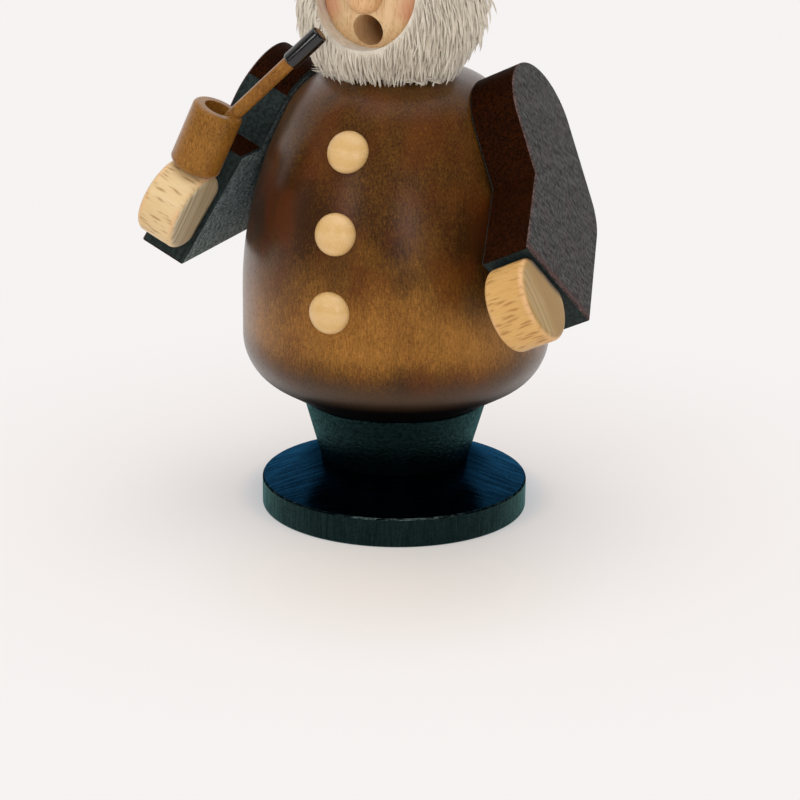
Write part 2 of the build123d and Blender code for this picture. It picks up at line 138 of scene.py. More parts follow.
class Value:
    """A node's output socket with arithmetic: each operator adds one Math node."""

    def __init__(self, net: "NodeNet", socket: bpy.types.NodeSocket) -> None:
        """Keep the socket and the net that it belongs to."""
        self.net = net
        self.socket = socket

    def __add__(self, other: "Term") -> "Value":
        """Return self + other."""
        return self.net.maths("ADD", self, other)

    def __radd__(self, other: "Term") -> "Value":
        """Return other + self."""
        return self.net.maths("ADD", other, self)

    def __sub__(self, other: "Term") -> "Value":
        """Return self - other."""
        return self.net.maths("SUBTRACT", self, other)

    def __rsub__(self, other: "Term") -> "Value":
        """Return other - self."""
        return self.net.maths("SUBTRACT", other, self)

    def __mul__(self, other: "Term") -> "Value":
        """Return self * other."""
        return self.net.maths("MULTIPLY", self, other)

    def __rmul__(self, other: "Term") -> "Value":
        """Return other * self."""
        return self.net.maths("MULTIPLY", other, self)

    def __truediv__(self, other: "Term") -> "Value":
        """Return self / other."""
        return self.net.maths("DIVIDE", self, other)

    def __rtruediv__(self, other: "Term") -> "Value":
        """Return other / self."""
        return self.net.maths("DIVIDE", other, self)

    def __mod__(self, other: "Term") -> "Value":
        """Return self modulo other."""
        return self.net.maths("MODULO", self, other)

    def __pow__(self, other: "Term") -> "Value":
        """Return self to the power of other."""
        return self.net.maths("POWER", self, other)

    def __abs__(self) -> "Value":
        """Return self without its sign."""
        return self.net.maths("ABSOLUTE", self)

    def swing(self, share: float, middle: float = 0.5) -> "Value":
        """Weigh by share how far the value lies from its middle."""
        return share * (self - middle)

    def ramp(self, low: float, high: float) -> "Value":
        """Rise smoothly from 0 at low to 1 at high."""
        sockets = {0: self, 1: low, 2: high, 3: 0.0, 4: 1.0}
        return self.net.node("ShaderNodeMapRange", {"interpolation_type": "SMOOTHSTEP"}, sockets)

    def clamped(self) -> "Value":
        """Keep the value between 0 and 1."""
        return self.net.node("ShaderNodeClamp", {}, {"Value": self})

    def also(self, output: Union[str, int]) -> "Value":
        """Return another output of the same node."""
        return Value(self.net, self.socket.node.outputs[output])


Term = Union[Value, float, int]
Colour = Union[Value, Tone]
Feed = Union[Value, float, int, bool, str, tuple, bpy.types.Material]


class NodeNet:
    """A node tree with one way to add nodes to it."""

    def __init__(self, tree: bpy.types.NodeTree) -> None:
        """Keep the tree and empty it."""
        self.tree = tree
        self.tree.nodes.clear()

    def node(
        self,
        kind: str,
        settings: Optional[dict[str, object]] = None,
        sockets: Optional[dict[Union[str, int], Feed]] = None,
        output: Union[str, int] = 0,
    ) -> Value:
        """Add one node, set it up and feed its sockets.

        Args:
            kind: The node's type name.
            settings: Its properties, set first. A ramp's "stops" are (place, colour) pairs.
            sockets: Values or links by the socket's name or number.
            output: Which output to return.

        Returns:
            The chosen output.
        """
        made = self.tree.nodes.new(kind)
        for key, setting in (settings or {}).items():
            if key == "stops":
                self._set_stops(made.color_ramp, setting)
            else:
                setattr(made, key, setting)
        for key, feed in (sockets or {}).items():
            if isinstance(feed, Value):
                self.tree.links.new(feed.socket, made.inputs[key])
            else:
                made.inputs[key].default_value = feed
        return Value(self, made.outputs[output] if made.outputs else made.inputs[0])

    @staticmethod
    def _set_stops(ramp: bpy.types.ColorRamp, stops: Sequence[tuple[float, tuple]]) -> None:
        """Give a colour ramp its stops.

        Args:
            ramp: The ramp to fill.
            stops: Pairs of place and linear colour.
        """
        while len(ramp.elements) < len(stops):
            ramp.elements.new(1.0)
        for element, (place, colour) in zip(ramp.elements, stops):
            element.position = place
            element.color = colour

    def maths(self, operation: str, *terms: Term) -> Value:
        """Add a Math node with its inputs in order."""
        return self.node("ShaderNodeMath", {"operation": operation}, dict(enumerate(terms)))

    def vector(self, operation: str, *terms: Feed, output: int = 0) -> Value:
        """Add a Vector Math node.

        Args:
            operation: The node's operation.
            *terms: Its inputs in order; a scale factor goes last.
            output: 0 for a vector result, 1 for a number.

        Returns:
            The chosen output.
        """
        sockets = dict(enumerate(terms))
        if operation == "SCALE":
            sockets = {0: terms[0], 3: terms[1]}
        return self.node("ShaderNodeVectorMath", {"operation": operation}, sockets, output)

    def split(self, place: Value) -> tuple[Value, Value, Value]:
        """Return a vector's three parts."""
        across = self.node("ShaderNodeSeparateXYZ", {}, {0: place})
        return across, across.also(1), across.also(2)

    def xyz(self, x: Term = 0.0, y: Term = 0.0, z: Term = 0.0) -> Value:
        """Return a vector made of three parts."""
        return self.node("ShaderNodeCombineXYZ", {}, {0: x, 1: y, 2: z})


class FinishNet(NodeNet):
    """A material's node tree with the patterns that the finishes share."""

    noise_roughness: float = 0.55
    spindle_sway: float = 0.3

    def __init__(self, name: str) -> None:
        """Make the material and start its tree.

        Args:
            name: The material's name.
        """
        self.material = bpy.data.materials.new(name)
        self.material.use_nodes = True
        super().__init__(self.material.node_tree)

    def place(self, axes: Optional[Matrix] = None, origin_m: Vector = Vector()) -> Value:
        """Give the piece's own coordinates in millimetres.

        Args:
            axes: Rows are the directions that become X, Y and Z.
            origin_m: The point, in metres, that becomes zero.

        Returns:
            A vector to feed to the patterns.
        """
        turned = axes if axes is not None else Matrix.Identity(3)
        own = self.node("ShaderNodeTexCoord", {}, {}, "Object")
        sockets = {
            "Vector": own,
            "Location": tuple(-(turned @ origin_m) / MM),
            "Rotation": tuple(turned.to_euler("XYZ")),
            "Scale": (1 / MM, 1 / MM, 1 / MM),
        }
        return self.node("ShaderNodeMapping", {"vector_type": "POINT"}, sockets)

    def noise(self, place: Value, size: Triple, detail: float = 2.0) -> Value:
        """Soft irregular pattern, 0 to 1, whose patches are about size millimetres.

        Args:
            place: The piece's own coordinates in millimetres.
            size: How long the patches are along X, Y and Z.
            detail: How many finer layers lie on top.

        Returns:
            The pattern.
        """
        stretched = self.vector("DIVIDE", place, size)
        sockets = {"Vector": stretched, "Scale": 1.0, "Detail": detail, "Roughness": self.noise_roughness}
        return self.node("ShaderNodeTexNoise", {}, sockets)

    def off_axis(self, place: Value) -> Value:
        """Return the distance from the turning axis."""
        across, ahead, _ = self.split(place)
        return self.distance(across, ahead, (0.0, 0.0))

    @staticmethod
    def distance(across: Value, along: Value, spot: Span) -> Value:
        """Return the distance from a spot in the plane of two directions."""
        return ((across - spot[0]) ** 2.0 + (along - spot[1]) ** 2.0) ** 0.5

    def rings(self, out: Value, pitch: float, detail: float = 2.0) -> Value:
        """Vary with the distance from an axis, 0 to 1, about pitch millimetres from ring to ring."""
        sockets = {"W": out, "Scale": 1 / pitch, "Detail": detail}
        return self.node("ShaderNodeTexNoise", {"noise_dimensions": "1D"}, sockets)

    def spindles(self, place: Value, size: Triple, edge: Span) -> Value:
        """Scatter spindles, 1 inside and 0 outside.

        Args:
            place: The piece's own coordinates in millimetres.
            size: The cell that holds one spindle, in millimetres.
            edge: Where a spindle starts to fade and where it ends, as shares of its cell.

        Returns:
            How far a point lies inside a spindle.
        """
        sockets = {"Vector": place, "Scale": self.spindle_sway, "Detail": 1.0}
        sway = self.node("ShaderNodeTexNoise", {}, sockets, "Color")
        stretched = self.vector("DIVIDE", self.vector("ADD", place, sway), size)
        return 1 - self.node("ShaderNodeTexVoronoi", {}, {"Vector": stretched, "Scale": 1.0}).ramp(*edge)

    def aslant(self, power: float = 2.0) -> Value:
        """Rise from 0 where the surface faces the viewer to 1 where it turns away."""
        return self.node("ShaderNodeLayerWeight", {}, {"Blend": 0.5}, "Facing") ** power

    def blend(self, factor: Term, first: Colour, second: Colour) -> Value:
        """Mix two colours, each a link or a tone."""
        low, high = (part if isinstance(part, Value) else linear(part) for part in (first, second))
        return self.node("ShaderNodeMix", {"data_type": "RGBA"}, {0: factor, 6: low, 7: high}, 2)

    def stops(self, factor: Value, places: Sequence[float], tones: Sequence[Tone]) -> Value:
        """Turn a value into a colour along a ramp of tones at their places."""
        stops = [(place, linear(tone)) for place, tone in zip(places, tones)]
        return self.node("ShaderNodeValToRGB", {"stops": stops}, {0: factor})

    def bump(self, height: Value, depth: float) -> Value:
        """Turn a height of 0 to 1 into a normal, depth millimetres deep."""
        return self.node("ShaderNodeBump", {}, {"Distance": depth * MM, "Height": height})

    def principled(self, sockets: dict[str, Feed]) -> Value:
        """Add a Principled shader with the values and links of its sockets."""
        return self.node("ShaderNodeBsdfPrincipled", {}, sockets)

    def mixed(self, share: Value, first: Value, second: Value) -> Value:
        """Mix two shaders by the second one's share."""
        return self.node("ShaderNodeMixShader", {}, {0: share, 1: first, 2: second})

    def close(self, shader: Value) -> bpy.types.Material:
        """Add the output and return the finished material."""
        self.node("ShaderNodeOutputMaterial", {}, {"Surface": shader})
        return self.material


@dataclass(frozen=True)
class Finish:
    """What every finish has: its own name and, on the figure, the record's material slot."""

    name: str
    slot: str = ""

    def material(self) -> bpy.types.Material:
        """Return this finish's material, made on first use."""
        return bpy.data.materials.get(self.name) or self.make()

    def make(self) -> bpy.types.Material:
        """Build the material; each finish has its own."""
        raise NotImplementedError


@dataclass(frozen=True)
class StainCloud:
    """A patch on the stain, darker with weight below 0 and lighter above 0; some darker ones are painted
    shade.
    """

    turn: float
    height: float
    reach: float
    weight: float
    core: float = 0.2

    def mask(self, net: FinishNet, place: Value, radius: float) -> Value:
        """Weigh the patch by the distance from its middle.

        Args:
            net: The material's net.
            place: The piece's own coordinates in millimetres.
            radius: How far from the axis the patch lies.

        Returns:
            The patch's weight, falling to 0 at its reach.
        """
        turn = math.radians(self.turn)
        middle = (radius * math.sin(turn), -radius * math.cos(turn), self.height)
        away = net.vector("DISTANCE", place, middle, output=1)
        return self.weight * (1 - away.ramp(self.core * self.reach, self.reach))


@dataclass(frozen=True)
class BrownStain(Finish):
    """Satin brown stain on turned wood, with short upright pores and uneven clouds, and painted shade
    under the belly and at the seat.
    """

    dark: Tone = (56, 30, 5)
    middle: Tone = (106, 68, 20)
    light: Tone = (154, 104, 40)
    bright: Tone = (178, 124, 56)
    tone_places: tuple[float, ...] = (0.0, 0.4, 0.76, 1.0)
    least_tone: float = 0.16
    belt_low: Span = (43.0, 54.0)
    belt_high: Span = (56.0, 90.0)
    belt_share: float = 0.5
    cloud_size: Triple = (30.0, 30.0, 34.0)
    cloud_share: float = 0.3
    clouds: tuple[StainCloud, ...] = ()
    barrel_radius: float = 40.5
    mottle_size: Triple = (4.5, 4.5, 9.0)
    mottle_share: float = 0.3
    fibre_size: Triple = (0.42, 0.42, 1.8)
    fibre_share: float = 0.64
    grit_size: Triple = (0.4, 0.4, 0.5)
    grit_share: float = 0.5
    red: Tone = (104, 44, 10)
    red_size: Triple = (9.0, 9.0, 16.0)
    red_edge: Span = (0.42, 0.66)
    red_share: float = 0.4
    pore: Tone = (64, 30, 7)
    pore_size: Triple = (0.3, 0.3, 0.9)
    pore_edge: Span = (0.54, 0.72)
    pore_share: float = 0.24
    pore_dulling: float = 0.4
    # Painted shade: the tone of the underside below the belly.
    under: Tone = (70, 54, 40)
    under_edge: Span = (41.0, 48.0)
    under_wander: float = 4.0
    under_least: float = 0.25
    # Painted shade: near black at the seat on the plinth.
    seat: Tone = (4, 2, 2)
    seat_edge: Span = (35.5, 42.5)
    roughness: float = 0.5
    fibre_roughness: float = 0.16
    pore_roughness: float = 0.14
    fibre_height: float = 0.5
    depth: float = 0.03
    coat_front: float = 0.18
    coat_aslant: float = 2.0

    def make(self) -> bpy.types.Material:
        """Build the stain: clouds and fibres choose the tone, pores darken and dent it, and painted shade
        darkens the underside and the seat.

        Returns:
            The finished material.
        """
        net = FinishNet(self.name)
        place = net.place()
        height = net.split(place)[2]
        fibre = net.noise(place, self.fibre_size)
        pore = net.noise(place, self.pore_size, detail=1.0).ramp(*self.pore_edge)
        grit = net.noise(place, self.grit_size, detail=1.0)
        mottle = net.noise(place, self.mottle_size)
        cloud = net.noise(place, self.cloud_size, detail=1.0)
        reddish = net.noise(place, self.red_size, detail=1.0).ramp(*self.red_edge)
        belt = height.ramp(*self.belt_low) * (1 - height.ramp(*self.belt_high))
        tone = self.least_tone + self.belt_share * belt
        tone = tone + cloud.swing(self.cloud_share) + mottle.swing(self.mottle_share)
        tone = tone + fibre.swing(self.fibre_share) + grit.swing(self.grit_share)
        for patch in self.clouds:
            tone = tone + patch.mask(net, place, self.barrel_radius)
        tone = tone.clamped()
        colour = net.stops(tone, self.tone_places, (self.dark, self.middle, self.light, self.bright))
        colour = net.blend(self.red_share * reddish * (1 - tone), colour, self.red)
        # Painted shade: the underside turns to the under tone below the belly.
        lower = (height + mottle.swing(self.under_wander)).ramp(*self.under_edge)
        colour = net.blend(self.under_least + (1 - self.under_least) * lower, self.under, colour)
        colour = net.blend(self.pore_share * pore, colour, self.pore)
        # Painted shade: near black at the seat, where the coat fades out too.
        clear_of_seat_shade = height.ramp(*self.seat_edge)
        gloss = (self.coat_front + self.coat_aslant * net.aslant()).clamped()
        sockets = {
            "Base Color": net.blend(clear_of_seat_shade, self.seat, colour),
            "Roughness": self.roughness + fibre.swing(self.fibre_roughness) + self.pore_roughness * pore,
            "Normal": net.bump(self.fibre_height * fibre - pore, self.depth),
            "Specular IOR Level": 0.04,
            "Coat Weight": clear_of_seat_shade * gloss * (1 - self.pore_dulling * pore),
            "Coat Roughness": 0.3,
            "Coat IOR": 1.6,
        }
        return net.close(net.principled(sockets))


@dataclass(frozen=True)
class BlackStain(Finish):
    """Matt black stain over open grain, whose high fibres mirror a little cold light aslant."""

    tone: Tone = (3, 10, 12)
    worn: Tone = (8, 20, 21)
    # On the foot's edge this keeps the worn tone to the front, where it is a painted highlight.
    worn_reach: Span = NOWHERE
    roughness: float = 0.75
    relief_roughness: float = 0.3
    grain_turn: float = 0.0
    grain_size: Triple = (14.0, 0.5, 0.5)
    speck_size: Triple = (0.7, 0.7, 0.7)
    speck_share: float = 0.4
    proud_edge: Span = (0.34, 0.7)
    depth: float = 0.1
    gloss_tone: Tone = (74, 112, 112)
    gloss: float = 0.42
    gloss_square: float = 0.14
    gloss_rise: float = 1.9
    gloss_power: float = 2.0
    gloss_roughness: float = 0.3
    gloss_relief: float = 0.2
    gloss_breaks: float = 0.5
    corner_reach: Span = (0.0, 0.1)
    corner_gloss: float = 0.3

    def make(self) -> bpy.types.Material:
        """Build the stain: grain lines and pebbled specks stand proud of a matt ground.

        Returns:
            The finished material.
        """
        net = FinishNet(self.name)
        place = net.place(Matrix.Rotation(-math.radians(self.grain_turn), 3, "Z"))
        grain = net.noise(place, self.grain_size, detail=3.0)
        speck = net.noise(place, self.speck_size)
        relief = (1 - self.speck_share) * grain + self.speck_share * speck
        proud = relief.ramp(*self.proud_edge)
        normal = net.bump(relief, self.depth)
        # Proud fibres take the worn tone; on the foot's edge only at the front, as a painted highlight.
        rubbed = proud * (1 - net.split(place)[1].ramp(*self.worn_reach))
        ground = {
            "Base Color": net.blend(rubbed, self.tone, self.worn),
            "Roughness": self.roughness + relief.swing(self.relief_roughness),
            "Normal": normal,
            "Specular IOR Level": 0.0,
        }
        high = {
            "Color": linear(self.gloss_tone),
            "Roughness": self.gloss_roughness + relief.swing(self.gloss_relief),
            "Normal": normal,
        }
        turned = self.gloss_rise * (1 - self.gloss_square) * net.aslant(self.gloss_power)
        share = self.gloss * (self.gloss_square + turned)
        share = share * (1 - self.gloss_breaks + 2 * self.gloss_breaks * proud)
        # Gloss fades towards the axis: on the foot's top this is painted shade where the plinth stands.
        outside = net.off_axis(place).ramp(*self.corner_reach)
        share = (share * (self.corner_gloss + (1 - self.corner_gloss) * outside)).clamped()
        satin = net.node("ShaderNodeBsdfAnisotropic", {}, high)
        return net.close(net.mixed(share, net.principled(ground), satin))


@dataclass(frozen=True)
class SawnStain(Finish):
    """Dark stain on a sawn board: torn fibres, rubbed to red-brown towards the sawn end."""

    dark: Tone = (24, 24, 24)
    light: Tone = (90, 91, 89)
    contrast: Span = (0.38, 0.64)
    fibre_size: Triple = (2.6, 0.44, 0.44)
    fibre_share: float = 0.6
    mark_along: float = 1.3
    mark_across: float = 0.6
    patch_size: Triple = (6.0, 5.0, 6.0)
    red: Tone = (86, 56, 52)
    red_share: float = 0.16
    red_edge: Span = (0.44, 0.66)
    red_fibre: float = 0.6
    rubbed_share: float = 0.0
    rubbed_reach: Span = (0.6, 2.8)
    rubbed_wander: float = 1.6
    depth: float = 0.16
    roughness: float = 0.6
    relief_roughness: float = 0.3
    specular: float = 0.12
    axes: tuple[Triple, ...] = PLAIN_AXES
    origin_m: Triple = (0.0, 0.0, 0.0)

    def make(self) -> bpy.types.Material:
        """Build the stain: long torn fibres crossed by finer saw marks.

        Returns:
            The finished material.
        """
        net = FinishNet(self.name)
        place = net.place(Matrix(self.axes), Vector(self.origin_m))
        along, across, through = self.fibre_size
        fibre = net.noise(place, self.fibre_size, detail=3.0)
        marks = net.noise(place, (across * self.mark_along, along * self.mark_across, through))
        patch = net.noise(place, self.patch_size)
        relief = self.fibre_share * fibre + (1 - self.fibre_share) * marks
        colour = net.blend(relief.ramp(*self.contrast), self.dark, self.light)
        reddish = self.red_share * (patch + fibre.swing(self.red_fibre)).ramp(*self.red_edge)
        inward = abs(net.split(place)[1]) + patch.swing(self.rubbed_wander)
        rubbed = self.rubbed_share * (1 - inward.ramp(*self.rubbed_reach))
        sockets = {
            "Base Color": net.blend(net.maths("MAXIMUM", reddish, rubbed), colour, self.red),
            "Roughness": self.roughness + relief.swing(self.relief_roughness),
            "Normal": net.bump(relief, self.depth),
            "Specular IOR Level": self.specular,
        }
        return net.close(net.principled(sockets))


@dataclass(frozen=True)
class Beech(Finish):
    """Natural beech under a thin satin lacquer, with ray flecks along its grain, and on the hands a
    painted highlight on the rim and a painted shadow at the seat.
    """

    light: Tone = (222, 178, 120)
    dark: Tone = (200, 152, 90)
    tint_size: Triple = (6.0, 6.0, 14.0)
    tint_share: float = 0.8
    tint_middle: float = 0.4
    fibre_size: Triple = (0.45, 0.45, 4.0)
    fibre_share: float = 1.0
    fibre_height: float = 0.6
    fibre_roughness: float = 0.2
    fleck: Tone = (144, 92, 38)
    fleck_size: Triple = (0.56, 0.56, 8.0)
    fleck_edge: Span = (0.2, 0.42)
    fleck_share: float = 0.65
    fleck_height: float = 0.8
    fleck_roughness: float = 0.08
    pith: Span = (26.0, 11.0)
    ring_width: float = 2.4
    ring_wander: float = 0.8
    ring_share: float = 0.35
    ring_rise: Span = (0.25, 0.7)
    ring_fall: Span = (0.86, 1.0)
    wander_size: Triple = (7.0, 7.0, 22.0)
    end_pale: Tone = (168, 134, 76)
    end_dark: Tone = (172, 144, 94)
    end_tint: float = 0.5
    end_streak: Tone = (146, 114, 66)
    end_reach: Span = NOWHERE
    streak_pitch: float = 1.25
    streak_edge: Span = (0.35, 0.75)
    streak_share: float = 0.6
    # Painted highlight along the drum's rounded rim.
    ridge: Tone = (232, 184, 136)
    ridge_reach: Span = NOWHERE
    ridge_edge: Span = (0.3, 0.6)
    ridge_share: float = 0.6
    ridge_flecks: float = 0.5
    # Painted shadow that the sleeve casts on the hand's top, next to its seat.
    seat: Tone = (34, 22, 12)
    seat_axis: Triple = (0.0, 0.0, 1.0)
    seat_level: float = -NOWHERE[0]
    seat_reach: Span = (0.8, 3.2)
    seat_wander: float = 1.2
    roughness: float = 0.45
    depth: float = 0.03
    coat: float = 0.2
    coat_roughness: float = 0.2
    axes: tuple[Triple, ...] = PLAIN_AXES
    origin_m: Triple = (0.0, 0.0, 0.0)

    def make(self) -> bpy.types.Material:
        """Build the wood: growth rings about a pith outside the piece, flecks along the grain.

        Returns:
            The finished material.
        """
        net = FinishNet(self.name)
        return self.lacquered(net, *self.wood(net))

    def lacquered(self, net: FinishNet, colour: Value, rough: Value, relief: Value) -> bpy.types.Material:
        """Close the net with the wood's lacquer.

        Args:
            net: The material's net.
            colour: The wood's colour.
            rough: Its roughness.
            relief: Its height, 0 to 1.

        Returns:
            The finished material.
        """
        sockets = {
            "Base Color": colour,
            "Roughness": rough,
            "Normal": net.bump(relief, self.depth),
            "Specular IOR Level": 0.2,
            "Coat Weight": self.coat,
            "Coat Roughness": self.coat_roughness,
        }
        return net.close(net.principled(sockets))

    def wood(self, net: FinishNet) -> tuple[Value, Value, Value]:
        """Add the wood's pattern to a net.

        Args:
            net: The material's net.

        Returns:
            Colour, roughness and relief.
        """
        place = net.place(Matrix(self.axes), Vector(self.origin_m))
        across, aside, along = net.split(place)
        out = net.distance(across, aside, self.pith)
        wander = net.noise(place, self.wander_size)
        ring = (out / self.ring_width + self.ring_wander * wander) % 1.0
        late = ring.ramp(*self.ring_rise) * (1 - ring.ramp(*self.ring_fall))
        tint = net.noise(place, self.tint_size)
        fibre = net.noise(place, self.fibre_size)
        tone = self.ring_share * late + tint.swing(self.tint_share, self.tint_middle)
        tone = tone + fibre.swing(self.fibre_share)
        colour = net.blend(tone.clamped(), self.light, self.dark)
        reach = abs(along)
        # Painted highlight: a pale band along the rim next to each end.
        ridge = reach.ramp(*self.ridge_reach)
        colour = net.blend(self.ridge_share * ridge * tint.ramp(*self.ridge_edge), colour, self.ridge)
        sawn = reach.ramp(*self.end_reach)
        end = net.blend((late + tint.swing(self.end_tint)).clamped(), self.end_pale, self.end_dark)
        streak = net.rings(out, self.streak_pitch, detail=1.0).ramp(*self.streak_edge)
        end = net.blend(self.streak_share * streak, end, self.end_streak)
        colour = net.blend(sawn, colour, end)
        fleck = net.spindles(place, self.fleck_size, self.fleck_edge)
        fleck = fleck * (1 - self.ridge_flecks * ridge) * (1 - sawn)
        colour = net.blend(self.fleck_share * fleck, colour, self.fleck)
        # Painted shadow: darker near the seat, where the sleeve shades the hand.
        off_seat = net.vector("DOT_PRODUCT", place, self.seat_axis, output=1) - self.seat_level
        seat_shadow = 1 - (off_seat + tint.swing(self.seat_wander)).ramp(*self.seat_reach)
        colour = net.blend(seat_shadow, colour, self.seat)
        rough = self.roughness + fibre.swing(self.fibre_roughness) + self.fleck_roughness * fleck
        return colour, rough, self.fibre_height * fibre - self.fleck_height * fleck


@dataclass(frozen=True)
class FaceWood(Beech):
    """Pale head wood with softly rubbed cheeks and two thin painted brows."""

    face_height: float = 138.9
    front_edge: Span = (-6.0, -2.0)
    cheek: Tone = (214, 128, 104)
    cheek_place: Span = (11.5, -2.0)
    cheek_reach: Span = (1.5, 5.5)
    cheek_share: float = 0.5
    brow: Tone = (92, 60, 36)
    brow_place: Span = (8.0, 7.2)
    brow_radius: float = 4.4
    brow_width: float = 0.55
    brow_rise: float = 0.62
    brow_fade: Span = (-0.2, 0.4)
    brow_share: float = 0.9

    def make(self) -> bpy.types.Material:
        """Build the wood and lay cheeks and brows on the face's side of it.

        Returns:
            The finished material.
        """
        net = FinishNet(self.name)
        colour, rough, relief = self.wood(net)
        across, ahead, height = net.split(net.place(None, Vector((0, 0, self.face_height * MM))))
        aside = abs(across)
        front = 1 - ahead.ramp(*self.front_edge)
        rosy = (1 - net.distance(aside, height, self.cheek_place).ramp(*self.cheek_reach)) * front
        colour = net.blend(self.cheek_share * rosy, colour, self.cheek)
        off_brow = abs(net.distance(aside, height, self.brow_place) - self.brow_radius)
        line = 1 - off_brow.ramp(self.brow_width / 2, self.brow_width)
        above = (height - self.brow_place[1] - self.brow_rise * self.brow_radius).ramp(*self.brow_fade)
        colour = net.blend(self.brow_share * line * above * front, colour, self.brow)
        return self.lacquered(net, colour, rough, relief)


@dataclass(frozen=True)
class Lacquer(Finish):
    """Brushed lacquer, with faint brush marks and worn high spots."""

    tone: Tone = (14, 13, 13)
    worn: Tone = (46, 40, 36)
    worn_share: float = 0.4
    brush_size: Triple = (0.5, 0.5, 3.0)
    brush_roughness: float = 0.2
    dust_size: Triple = (1.2, 1.2, 1.2)
    dust_edge: Span = (0.6, 0.78)
    dust_roughness: float = 0.15
    roughness: float = 0.22
    depth: float = 0.01

    def make(self) -> bpy.types.Material:
        """Build the lacquer.

        Returns:
            The finished material.
        """
        net = FinishNet(self.name)
        place = net.place()
        brush = net.noise(place, self.brush_size)
        dust = net.noise(place, self.dust_size, detail=3.0).ramp(*self.dust_edge)
        sockets = {
            "Base Color": net.blend(self.worn_share * dust, self.tone, self.worn),
            "Roughness": self.roughness + brush.swing(self.brush_roughness) + self.dust_roughness * dust,
            "Normal": net.bump(brush, self.depth),
            "Coat Weight": 0.3,
            "Coat Roughness": 0.1,
        }
        return net.close(net.principled(sockets))


@dataclass(frozen=True)
class PressedBrass(Finish):
    """Pressed brass sheet, browned by heat near its middle."""

    bright: Tone = (214, 176, 102)
    browned: Tone = (120, 84, 48)
    browned_reach: Span = (4.0, 13.0)
    browned_size: Triple = (5.0, 5.0, 5.0)
    browned_edge: Span = (0.25, 0.7)
    browned_dulling: float = 0.45
    browned_roughness: float = 0.3
    mark_pitch: float = 0.45
    mark_roughness: float = 0.16
    roughness: float = 0.26
    depth: float = 0.02

    def make(self) -> bpy.types.Material:
        """Build the metal: fine round draw marks, with ash and heat tint in the middle.

        Returns:
            The finished material.
        """
        net = FinishNet(self.name)
        place = net.place()
        out = net.off_axis(place)
        marks = net.rings(out, self.mark_pitch)
        stain = net.noise(place, self.browned_size, detail=3.0)
        burnt = (1 - out.ramp(*self.browned_reach)) * stain.ramp(*self.browned_edge)
        rough = self.roughness + marks.swing(self.mark_roughness) + self.browned_roughness * burnt
        sockets = {
            "Base Color": net.blend(burnt, self.bright, self.browned),
            "Metallic": 1 - self.browned_dulling * burnt,
            "Roughness": rough,
            "Normal": net.bump(marks, self.depth),
        }
        return net.close(net.principled(sockets))


@dataclass(frozen=True)
class Wool(Finish):
    """Cream wool strands, greyer from lock to lock."""

    light: Tone = (236, 228, 212)
    dark: Tone = (170, 156, 136)
    lock_size: Triple = (1.6, 1.6, 6.0)
    lock_level: float = 0.3
    fibre_size: Triple = (0.25, 0.25, 2.5)
    fibre_share: float = 0.6
    fibre_roughness: float = 0.2
    roughness: float = 0.7
    depth: float = 0.05

    def make(self) -> bpy.types.Material:
        """Build the wool.

        Returns:
            The finished material.
        """
        net = FinishNet(self.name)
        place = net.place()
        fibre = net.noise(place, self.fibre_size)
        tone = net.noise(place, self.lock_size) - self.lock_level + fibre.swing(self.fibre_share)
        sockets = {
            "Base Color": net.blend(tone.clamped(), self.light, self.dark),
            "Roughness": self.roughness + fibre.swing(self.fibre_roughness),
            "Normal": net.bump(fibre, self.depth),
            "Specular IOR Level": 0.3,
            "Sheen Weight": 0.2,
        }
        return net.close(net.principled(sockets))


@dataclass(frozen=True)
class StudioPaper(Finish):
    """Matt pale paper under and behind the figure, with painted shade in front of it and a painted shadow
    beside its foot.
    """

    near: Tone = (250, 244, 239)
    far: Tone = (246, 243, 242)
    reach: Span = (38.0, 200.0)
    # Painted shade: darker, warmer paper in front of the figure.
    front: Tone = (238, 227, 214)
    front_place: Triple = (24.0, -56.0, 0.0)
    front_reach: Span = (10.0, 60.0)
    # Painted shadow: greyer paper beside and behind the foot.
    shade: Tone = (194, 205, 216)
    shade_place: Triple = (-3.1, 7.4, 0.0)
    shade_reach: Span = (35.0, 46.0)
    tooth_size: Triple = (0.6, 0.6, 0.6)
    tooth_share: float = 0.02
    tooth_roughness: float = 0.1
    roughness: float = 0.9
    glow: float = 0.38

    def make(self) -> bpy.types.Material:
        """Build the paper: it keeps the shadow near the foot, adds painted shade and a painted shadow, and
        is plain white far away.

        Returns:
            The finished material.
        """
        net = FinishNet(self.name)
        place = net.place()
        out = net.vector("LENGTH", place, output=1).ramp(*self.reach)
        tooth = net.noise(place, self.tooth_size)
        colour = net.blend((out + tooth.swing(self.tooth_share)).clamped(), self.near, self.far)
        # Painted shade in front, then the painted shadow round the foot.
        ahead = net.vector("DISTANCE", place, self.front_place, output=1).ramp(*self.front_reach)
        colour = net.blend(ahead, self.front, colour)
        beside = net.vector("DISTANCE", place, self.shade_place, output=1).ramp(*self.shade_reach)
        sockets = {
            "Base Color": net.blend(beside, self.shade, colour),
            "Roughness": self.roughness + tooth.swing(self.tooth_roughness),
            "Specular IOR Level": 0.1,
        }
        path = net.node("ShaderNodeLightPath", {}, {}, "Is Camera Ray")
        seen = path + path.also("Is Glossy Ray") + path.also("Is Transmission Ray")
        white = net.node("ShaderNodeEmission", {}, {"Color": linear(self.far), "Strength": 1.0})
        away = seen.clamped() * (self.glow + (1 - self.glow) * out)
        return net.close(net.mixed(away, net.principled(sockets), white))


def put(name: str, data: bpy.types.ID) -> bpy.types.Object:
    """Make an object of a mesh, lamp or camera and put it in the scene.

    Args:
        name: The object's name.
        data: What it shows.

    Returns:
        The new object.
    """
    thing = bpy.data.objects.new(name, data)
    bpy.context.scene.collection.objects.link(thing)
    return thing


